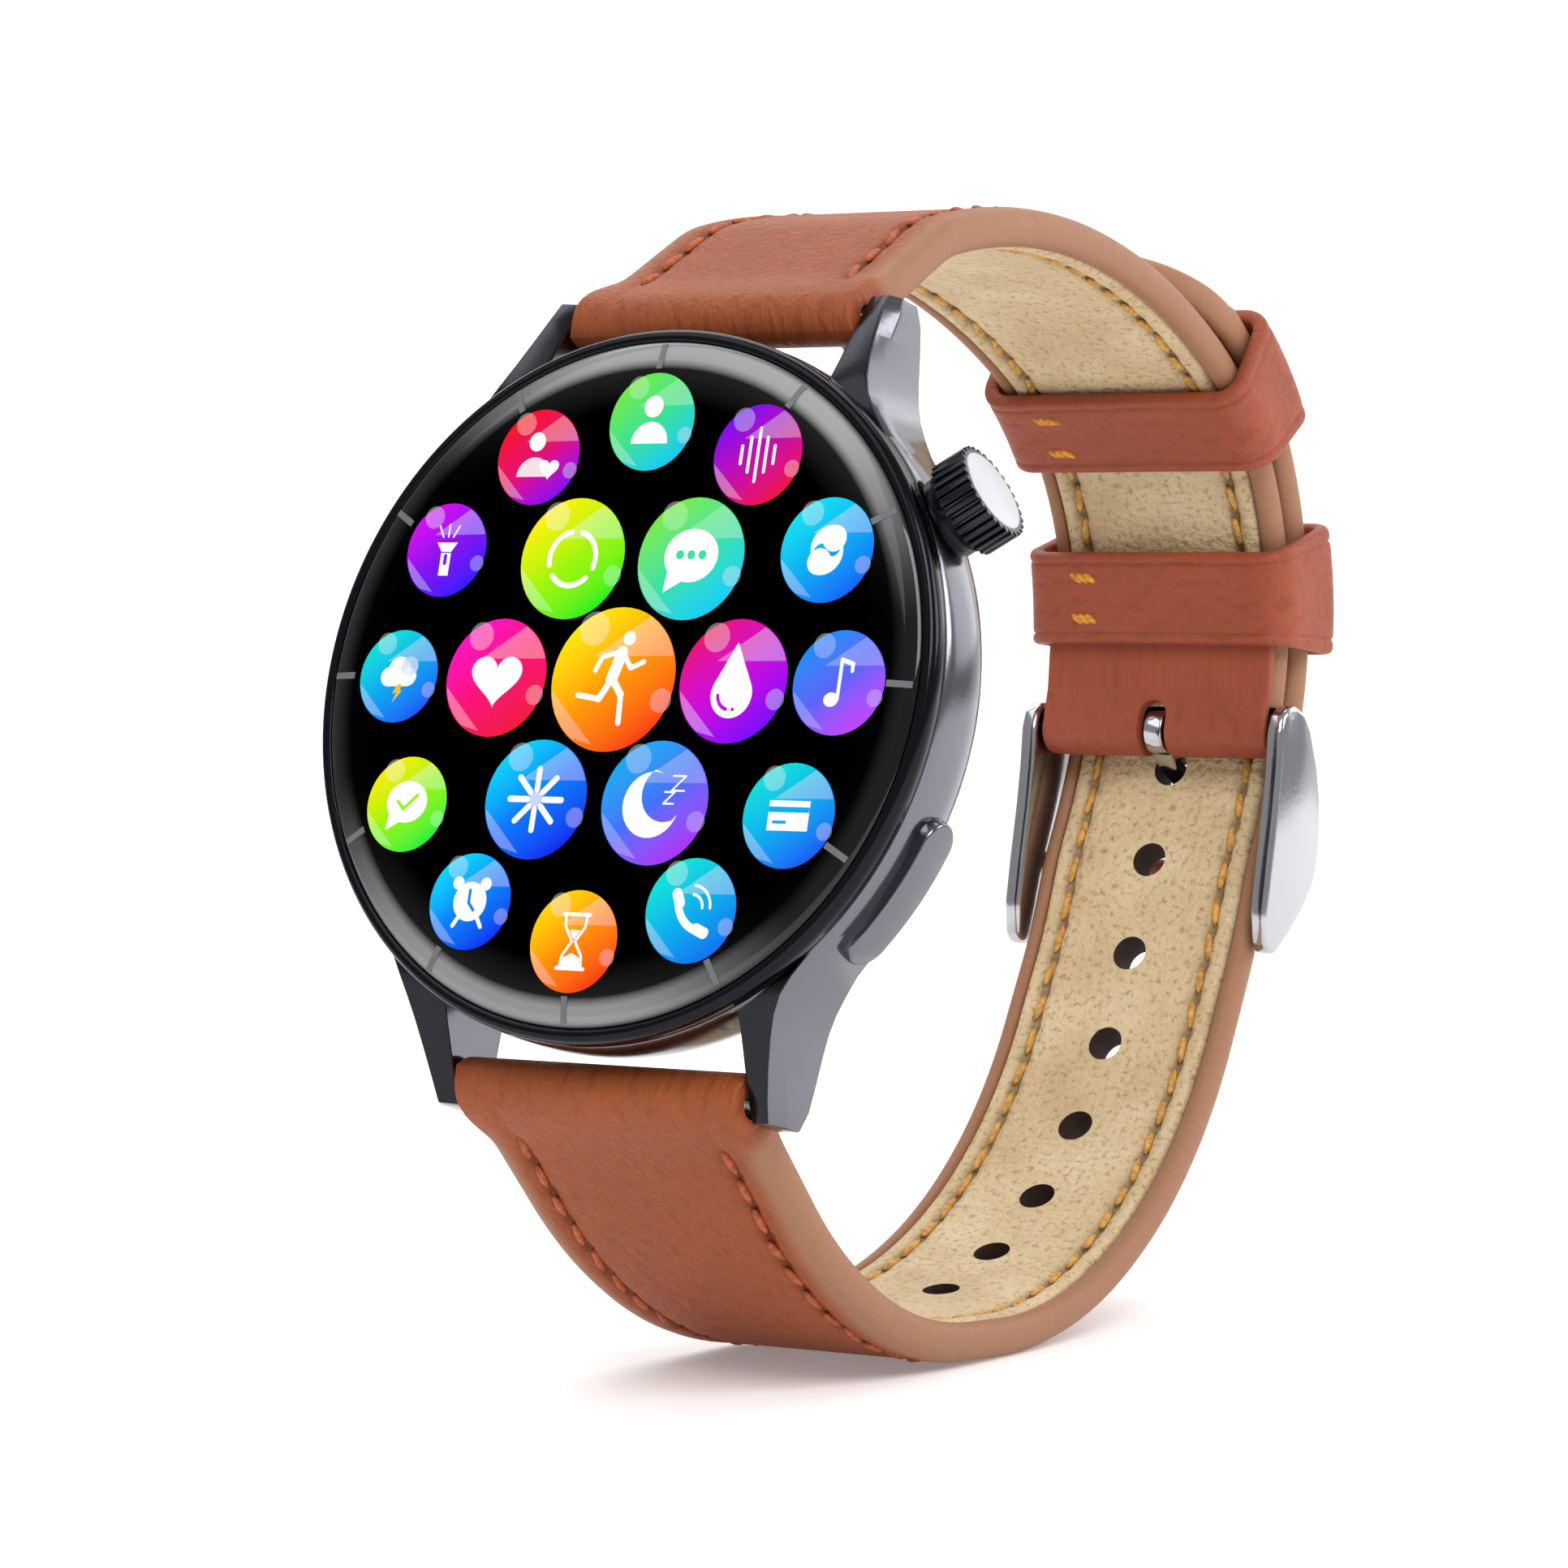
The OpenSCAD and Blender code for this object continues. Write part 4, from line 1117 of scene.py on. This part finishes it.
def make_glass():
    profile = [(0.0, GLASS_T), (0.0, 0.0), (6.0, 0.0), (12.0, 0.0), (18.0, 0.0)]
    for a in (math.radians(d) for d in range(0, 81, 10)):
        profile.append((CAVITY_R + 1.9 * math.sin(a), 0.55 * (1 - math.cos(a))))
    profile += [(GLASS_R, 0.5), (GLASS_R, GLASS_T)]
    glass = turned("dial_glass", profile, glass_finish(), steps=192, angle=60)
    edge = glass.data.attributes.new("edge", "FLOAT", "POINT")
    sheen = glass.data.attributes.new("sheen", "FLOAT", "POINT")
    back = PLACE.inverted()
    for i, v in enumerate(glass.data.vertices):
        p = back @ v.co
        r = math.hypot(p.x, p.z)
        angle = math.degrees(math.atan2(p.x, p.z))
        edge.data[i].value = smooth(r, 20.0, 21.4)
        # The mask of the painted reflection: pale crescents on the edge's curve, near 12 and 6 o'clock.
        upper = 1 - smooth(abs(angle - 14), 22, 66)
        lower = 1 - smooth(abs(abs(angle) - 168 if angle < 0 else 192 - angle), 18, 60)
        ring = smooth(r, 20.1, 20.9) * (1 - smooth(r, 21.75, GLASS_R))
        sheen.data[i].value = max(upper, 0.85 * lower) * ring
    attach(glass, "case")
    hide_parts("cover_glass")

    ring = turned("bezel", [
        (GLASS_R, 1.5), (GLASS_R, 0.48), (22.16, 0.42), (22.3, 0.38), (22.55, 0.36), (22.72, 0.42),
        (22.86, 0.56), (22.96, 0.78), (CASE_R, 1.05), (CASE_R, 1.78), (22.93, 1.86), (22.8, CASE_FRONT),
        (CAVITY_R, CASE_FRONT), (CAVITY_R, 1.5),
    ], bezel_black, steps=192, angle=50)
    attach(ring, "case")
    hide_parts("bezel_ring")


make_glass()


# ---- Dial: round app icons ----
def glow_finish(name, alpha=1.0):
    """Lit screen colour, taken from the mesh's own colours."""
    f = Finish(name, Base_Color=(0.0, 0.0, 0.0), Roughness=0.4)
    colour = f.node("ShaderNodeAttribute", {"attribute_name": "Color"}, None)
    f.set("Emission_Color", colour)
    f.shader.inputs["Emission Strength"].default_value = 1.0
    f.shader.inputs["Specular IOR Level"].default_value = 0.05
    f.shader.inputs["Alpha"].default_value = alpha
    return f


class Sheet:
    """A flat drawing on the dial, made of discs, bars, arcs and outlines at one height."""

    def __init__(self, height):
        self.bm = bmesh.new()
        self.tint = self.bm.verts.layers.float_color.new("Color")
        self.height = height

    def _lay(self, points, colour):
        """A flat outline; colour is one colour or a function of the place."""
        ring = [self.bm.verts.new((x, -self.height, z)) for x, z in points]
        for v in ring:
            c = colour(v.co.x, v.co.z) if callable(colour) else colour
            v[self.tint] = (*c, 1.0)
        face = self.bm.faces.new(ring)
        face.normal_update()
        if face.normal.y > 0:
            face.normal_flip()
        return face

    def disc(self, x, z, r, colour, squeeze=1.0, count=40):
        turn = [2 * math.pi * k / count for k in range(count)]
        self._lay([(x + r * math.cos(t), z + r * squeeze * math.sin(t)) for t in turn], colour)

    def fan(self, x, z, r, colour, rings=6, count=48):
        """A disc of several rings, so that a colour of many stops shows on it."""
        for k in range(rings):
            a, b = r * k / rings, r * (k + 1) / rings
            for i in range(count):
                t, u = 2 * math.pi * i / count, 2 * math.pi * (i + 1) / count
                pts = [(a, t), (b, t), (b, u), (a, u)] if k else [(0, 0), (b, t), (b, u)]
                self._lay([(x + q * math.cos(w), z + q * math.sin(w)) for q, w in pts], colour)

    def bar(self, x0, z0, x1, z1, w, colour):
        a = math.atan2(z1 - z0, x1 - x0)
        pts = [(x1 + w / 2 * math.cos(a + t), z1 + w / 2 * math.sin(a + t))
               for t in (math.radians(d) for d in range(-90, 91, 22))]
        pts += [(x0 - w / 2 * math.cos(a + t), z0 - w / 2 * math.sin(a + t))
                for t in (math.radians(d) for d in range(-90, 91, 22))]
        self._lay(pts, colour)

    def arc(self, x, z, r, w, a0, a1, colour):
        n = max(2, round(abs(a1 - a0) / 9))
        turn = [math.radians(a0 + (a1 - a0) * k / n) for k in range(n + 1)]
        for t, u in zip(turn, turn[1:]):
            ring = [(r - w / 2, t), (r + w / 2, t), (r + w / 2, u), (r - w / 2, u)]
            self._lay([(x + q * math.cos(a), z + q * math.sin(a)) for q, a in ring], colour)
        for a in (turn[0], turn[-1]):
            self.disc(x + r * math.cos(a), z + r * math.sin(a), w / 2, colour, count=10)

    def shape(self, x, z, scale, points, colour):
        self._lay([(x + scale * px, z + scale * pz) for px, pz in points], colour)

    def done(self, name, finish):
        piece = settle(name, self.bm, finish, smooth=False)
        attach(piece, "case")
        return piece


WHITE = (1.0, 1.0, 1.0)


def gradient(x, z, r, stops):
    """Colour across a disc from its upper left to its lower right."""
    colours = [srgb(*c) for c in stops]

    def at(px, pz):
        t = 0.5 + ((px - x) * 0.62 - (pz - z) * 0.78) / (2 * r)
        t = min(1.0, max(0.0, t)) * (len(colours) - 1)
        i = min(int(t), len(colours) - 2)
        return tuple(a + (b - a) * (t - i) for a, b in zip(colours[i], colours[i + 1]))

    return at


class Pen:
    """Draws one icon's mark on a sheet, in units in which the mark runs from -1 to 1."""

    def __init__(self, sheet, x, z, scale, back):
        self.sheet, self.x, self.z, self.scale, self.back = sheet, x, z, scale, back

    def at(self, x, z):
        return self.x + x * self.scale, self.z + z * self.scale

    def disc(self, x, z, r, colour=WHITE, squeeze=1.0, count=40):
        self.sheet.disc(*self.at(x, z), r * self.scale, colour, squeeze, count)

    def arc(self, x, z, r, width, start, stop, colour=WHITE):
        self.sheet.arc(*self.at(x, z), r * self.scale, width * self.scale, start, stop, colour)

    def line(self, width, *points, colour=WHITE):
        for a, b in zip(points, points[1:]):
            self.sheet.bar(*self.at(*a), *self.at(*b), width * self.scale, colour)

    def shape(self, points, colour=WHITE):
        self.sheet.shape(self.x, self.z, self.scale, points, colour)


def round_points(x, z, r, degrees, half_wide=None):
    """Points on a circle, or on an oval where a half width is given too."""
    wide = r if half_wide is None else half_wide
    return [(x + wide * math.cos(a), z + r * math.sin(a)) for a in (math.radians(d) for d in degrees)]


def draw_runner(pen):
    pen.disc(0.28, 0.92, 0.16)
    pen.line(0.3, (0.14, 0.6), (-0.04, 0.0))
    pen.line(0.12, (0.1, 0.62), (-0.36, 0.5), (-0.5, 0.2))
    pen.line(0.12, (0.2, 0.56), (0.42, 0.26), (0.74, 0.4))
    pen.line(0.17, (-0.02, 0.02), (0.26, -0.34))
    pen.line(0.14, (0.26, -0.34), (0.3, -0.96))
    pen.line(0.16, (-0.06, -0.04), (-0.3, -0.44))
    pen.line(0.13, (-0.3, -0.44), (-0.86, -0.36))


def draw_bubble(pen):
    pen.disc(0, 0.08, 0.82, squeeze=0.86)
    pen.shape([(-0.66, -0.3), (-0.1, -0.55), (-0.72, -0.9)])


def draw_dots(pen):
    for k in (-1, 0, 1):
        pen.disc(0.34 * k, 0.1, 0.12, pen.back)


def draw_drop(pen):
    tip = [(0.3, 0.42), (0.1, 0.82), (0.0, 1.0), (-0.1, 0.82), (-0.3, 0.42)]
    pen.shape(round_points(0, -0.34, 0.62, range(150, 391, 12)) + tip)


def draw_drop_line(pen):
    pen.arc(0, -0.34, 0.4, 0.1, 185, 255, pen.back)
    pen.disc(0.1, -0.73, 0.05, pen.back)


def along_line(line, t):
    """The point at a share of the way along a line of points."""
    i = t * (len(line) - 1)
    j = min(int(i), len(line) - 2)
    f = i - j
    return tuple(a * (1 - f) + b * f for a, b in zip(line[j], line[j + 1]))


def draw_moon(pen):
    outer = round_points(-0.1, -0.05, 0.86, range(72, 349, 8))
    inner = round_points(0.32, 0.25, 0.74, range(300, 118, -8))[::-1]
    steps = 24
    for k in range(steps):
        t, u = k / steps, (k + 1) / steps
        pen.shape([along_line(outer, t), along_line(outer, u), along_line(inner, u), along_line(inner, t)])
    for x, z, q in ((0.42, 0.14, 0.15), (0.66, 0.52, 0.19)):
        pen.line(0.05, (x - q, z + q), (x + q, z + q), (x - q, z - q), (x + q, z - q))


def draw_burst(pen):
    for k in range(8):
        a = math.radians(45 * k)
        c, d = math.cos(a), math.sin(a)
        pen.line(0.17, (0.26 * c, 0.26 * d), (0.82 * c, 0.82 * d))
    pen.disc(0, 0, 0.2, tuple(0.6 + 0.4 * c for c in pen.back))


def draw_heart(pen, x=0.0, z=0.0, size=1.0):
    steps = 40
    rim = []
    for k in range(steps):
        t = 2 * math.pi * k / steps
        high = (13 * math.cos(t) - 5 * math.cos(2 * t) - 2 * math.cos(3 * t) - math.cos(4 * t)) / 17
        rim.append((0.82 * math.sin(t) ** 3, 0.82 * high))
    for k in range(steps):
        wedge = ((0, -0.05), rim[k], rim[(k + 1) % steps])
        pen.shape([(x + size * px, z + size * pz) for px, pz in wedge])


def draw_rings(pen):
    for a in (100, 220, 340):
        pen.arc(0, 0, 0.72, 0.15, a, a + 94)


def draw_person(pen):
    pen.disc(0, 0.5, 0.36)
    pen.shape(round_points(0, -0.72, 0.72, range(0, 181, 12), half_wide=0.7))


def draw_bars(pen):
    for k, high in zip((-2, -1, 0, 1, 2), (0.28, 0.55, 0.85, 0.55, 0.28)):
        pen.line(0.11, (0.3 * k, -high), (0.3 * k, high))


def draw_swirl(pen):
    for q in (1, -1):
        for k in range(14):
            t = k / 13
            a = math.radians(58 + 128 * t)
            reach = q * (0.42 + 0.1 * t)
            pen.disc(reach * math.cos(a), reach * math.sin(a), 0.05 + 0.36 * (1 - t) ** 1.2, count=20)


def draw_note(pen):
    pen.disc(-0.2, -0.52, 0.26, squeeze=0.85)
    pen.line(0.12, (0.02, -0.5), (0.02, 0.72))
    pen.line(0.14, (0.04, 0.7), (0.42, 0.58))
    pen.line(0.12, (0.42, 0.58), (0.42, 0.36))


def draw_card(pen):
    pen.shape([(-0.72, -0.46), (0.72, -0.46), (0.72, 0.46), (-0.72, 0.46)])


def draw_card_lines(pen):
    pen.shape([(-0.72, 0.1), (0.72, 0.1), (0.72, 0.27), (-0.72, 0.27)], pen.back)
    pen.line(0.1, (-0.5, -0.2), (-0.1, -0.2), colour=pen.back)


def draw_phone(pen):
    pen.arc(0.55, 0.42, 1.05, 0.26, 176, 274)
    pen.line(0.36, (-0.55, 0.5), (-0.42, 0.22))
    pen.line(0.36, (0.28, -0.55), (0.56, -0.66))
    for r in (0.4, 0.68):
        pen.arc(0, 0.1, r, 0.09, 0, 85)


def draw_hourglass(pen):
    for q in (1, -1):
        pen.line(0.12, (-0.5, 0.85 * q), (0.5, 0.85 * q))
    for q in (-1, 1):
        side = [(0.4, 0.8), (0.36, 0.45), (0.06, 0), (0.36, -0.45), (0.4, -0.8)]
        pen.line(0.09, *[(q * x, z) for x, z in side])
    pen.shape([(-0.36, -0.8), (0.36, -0.8), (0.3, -0.5), (0.0, -0.36), (-0.3, -0.5)])
    pen.shape([(-0.2, 0.36), (0.2, 0.36), (0.03, 0.08), (-0.03, 0.08)])


def draw_alarm(pen):
    pen.disc(0, 0, 0.66)
    for q in (-1, 1):
        pen.disc(0.55 * q, 0.6, 0.22)
        pen.line(0.15, (0.36 * q, -0.5), (0.56 * q, -0.82))


def draw_alarm_hands(pen):
    pen.line(0.11, (-0.04, 0.38), (-0.04, -0.04), (0.18, -0.28), colour=pen.back)


def draw_check(pen):
    pen.line(0.12, (-0.36, 0.08), (-0.1, -0.16), (0.4, 0.32), colour=pen.back)


def draw_cloud(pen):
    pen.disc(0.4, 0.34, 0.36, tuple(0.45 + 0.5 * c for c in pen.back))
    pen.disc(-0.4, -0.02, 0.34)
    pen.disc(0, 0.22, 0.46)
    pen.disc(0.42, 0.0, 0.32)
    pen.line(0.4, (-0.4, -0.16), (0.42, -0.14))


def draw_bolt(pen):
    amber = srgb(255, 190, 20)
    pen.shape([(0.02, -0.28), (0.2, -0.28), (0.12, -0.5), (-0.16, -0.62)], amber)
    pen.shape([(0.22, -0.5), (0.04, -0.5), (-0.12, -0.92)], amber)


def draw_torch(pen):
    pen.shape([(-0.42, 0.26), (-0.2, -0.06), (0.2, -0.06), (0.42, 0.26)])
    pen.shape([(-0.2, -0.1), (-0.2, -0.88), (0.2, -0.88), (0.2, -0.1)])
    for a in (math.radians(d) for d in (-24, 0, 24)):
        c, d = math.sin(a), math.cos(a)
        pen.line(0.06, (0.5 * c, 0.36 + 0.1 * d), (1.0 * c, 0.28 + 0.6 * d))


def draw_torch_key(pen):
    pen.line(0.14, (0, -0.2), (0, -0.45), colour=pen.back)


def draw_health(pen):
    pen.disc(-0.12, 0.52, 0.32)
    chest = round_points(-0.12, -0.66, 0.66, range(0, 181, 12))
    pen.shape(chest, tuple(0.75 + 0.25 * c for c in pen.back))


def draw_health_heart(pen):
    draw_heart(pen, 0.48, -0.38, 0.48)


ICONS = [
    # radius and hour of the icon's place, size, colours from upper left to lower right, and its
    # drawings from back to front
    (0.0, 0, 4.65, ((255, 232, 0), (255, 150, 0), (250, 60, 20)), (draw_runner,)),
    (9.0, 1, 3.95, ((120, 235, 60), (60, 225, 160), (20, 205, 245)), (draw_bubble, draw_dots)),
    (9.0, 3, 3.95, ((235, 20, 110), (200, 10, 220), (120, 10, 250)), (draw_drop, draw_drop_line)),
    (9.0, 5, 3.95, ((20, 170, 240), (70, 110, 250), (170, 50, 250)), (draw_moon,)),
    (9.0, 7, 3.85, ((10, 210, 250), (10, 120, 250), (20, 40, 240)), (draw_burst,)),
    (9.0, 9, 3.85, ((255, 20, 190), (250, 20, 120), (240, 30, 60)), (draw_heart,)),
    (9.0, 11, 3.95, ((255, 240, 0), (160, 245, 10), (20, 240, 30)), (draw_rings,)),
    (16.7, 12, 3.2, ((110, 235, 60), (60, 225, 140), (20, 200, 240)), (draw_person,)),
    (16.7, 1, 3.25, ((120, 10, 240), (190, 10, 170), (240, 20, 60)), (draw_bars,)),
    (16.7, 2, 3.35, ((20, 225, 240), (10, 170, 245), (20, 100, 245)), (draw_swirl,)),
    (16.7, 3, 3.3, ((20, 140, 245), (90, 100, 250), (190, 70, 250)), (draw_note,)),
    (16.7, 4, 3.3, ((20, 225, 215), (10, 170, 240), (30, 90, 245)), (draw_card, draw_card_lines)),
    (16.7, 5, 3.3, ((20, 230, 215), (10, 175, 235), (20, 110, 240)), (draw_phone,)),
    (16.7, 6, 3.25, ((255, 215, 0), (255, 140, 0), (250, 60, 20)), (draw_hourglass,)),
    (16.7, 7, 3.1, ((10, 215, 250), (10, 130, 250), (15, 50, 240)), (draw_alarm, draw_alarm_hands)),
    (16.7, 8, 3.1, ((250, 235, 0), (150, 245, 10), (20, 240, 60)), (draw_bubble, draw_check)),
    (16.7, 9, 3.05, ((20, 225, 215), (10, 165, 240), (30, 90, 245)), (draw_cloud, draw_bolt)),
    (16.7, 10, 3.1, ((215, 10, 240), (130, 20, 240), (50, 30, 250)), (draw_torch, draw_torch_key)),
    (16.7, 11, 3.15, ((250, 20, 20), (225, 15, 110), (130, 10, 240)), (draw_health, draw_health_heart)),
]


MARK_SHARE = 0.62


def add_glints(sheet, x, z, r):
    """Two pale dots and two pale wedges near an icon's rim."""
    sheet.disc(x - 0.42 * r, z + 0.7 * r, 0.24 * r, WHITE, count=24)
    for start, stop, corner in ((62, 20, (-0.35, 0.32)), (190, 236, (-0.2, -0.9))):
        band = round_points(0, 0, 0.985, (start + (stop - start) * k / 8 for k in range(9)))
        sheet.shape(x, z, r, band + [corner], WHITE)
    sheet.disc(x + 0.82 * r, z - 0.28 * r, 0.17 * r, WHITE, count=20)


def make_dial():
    discs, glints, marks, details = Sheet(0.012), Sheet(0.019), Sheet(0.026), Sheet(0.034)
    for radius, hour, r, stops, drawings in ICONS:
        a = math.radians(90 - 30 * hour)
        x, z = radius * math.cos(a), radius * math.sin(a)
        colour = gradient(x, z, r, stops)
        discs.fan(x, z, r, colour)
        add_glints(glints, x, z, r)
        for sheet, draw in zip((marks, details), drawings):
            draw(Pen(sheet, x, z, MARK_SHARE * r, colour(x, z)))
    discs.done("icon_discs", glow_finish("lit icon colours"))
    glints.done("icon_glints", glow_finish("lit icon glints", 0.16))
    marks.done("icon_marks", glow_finish("lit icon marks"))
    details.done("icon_details", glow_finish("lit icon details"))


def make_hour_ticks():
    bm = bmesh.new()
    size = Matrix.Diagonal((0.42, 0.1, 1.7, 1))
    for hour in range(12):
        place = Matrix.Rotation(math.radians(30 * hour), 4, "Y") @ Matrix.Translation((0, 0.06, 21.0))
        lean = Matrix.Rotation(math.radians(-12), 4, "X")
        bmesh.ops.create_cube(bm, size=1, matrix=place @ lean @ size)
    print_grey = mottled("tick print", 800, srgb(88, 89, 91), srgb(110, 111, 113), 0.4)
    ticks = settle("hour_ticks", bm, print_grey, smooth=False)
    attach(ticks, "case")


make_dial()
make_hour_ticks()


# ---- Finishes of the pieces that keep the frame's own shape ----
def inner_finishes():
    board = Finish("board green", Roughness=0.4)
    traces = board.ramp(board.cells(900), (0.3, 0.0), (0.34, 1.0))
    board.set("Base_Color", board.mix(traces, srgb(120, 150, 70), srgb(20, 84, 56)))
    wrap = mottled("battery wrap", 300, srgb(36, 52, 96), srgb(52, 72, 122), 0.45)
    dark = mottled("dark moulding", 700, srgb(28, 29, 33), srgb(42, 43, 48), 0.5)
    dark.bump(dark.noise(3000, 2), 0.00002)
    panel = mottled("screen panel", 200, (0.002, 0.002, 0.003), (0.006, 0.006, 0.008), 0.25)
    rubber = mottled("red seal rubber", 900, srgb(150, 40, 30), srgb(190, 60, 44), 0.6)
    window = mottled("sensor window", 150, (0.004, 0.004, 0.006), (0.01, 0.01, 0.014), 0.08)
    gold = plain_metal("gold plating", srgb(214, 172, 92), 0.22)
    copper = plain_metal("copper flex", srgb(196, 124, 70), 0.35)
    brackets = plain_metal("pressed bracket", srgb(120, 122, 128), 0.38)
    bright = plain_metal("bright steel", srgb(200, 202, 206), 0.22)
    return {
        "case_steel": gunmetal, "bezel_black": bezel_black, "cover_glass": window, "display": panel,
        "seal": rubber, "copper_flex": copper, "bracket": brackets, "board": board,
        "bright_steel": bright, "polished_steel": chrome, "battery_wrap": wrap, "dark_plastic": dark,
        "back_plastic": dark, "sensor_glass": window, "gold_contact": gold, "crown_black": knurl_black,
        "chestnut_leather": chestnut, "tan_lining": lining, "keeper_leather": russet,
    }


def finish_nodes():
    finishes = inner_finishes()
    for name, piece in frame["nodes"].items():
        slot = piece.material_slots[0].material.name.split(".")[0]
        finish = knurl_black if name == "crown_tube" else finishes[slot]
        piece.material_slots[0].material = finish.material


finish_nodes()
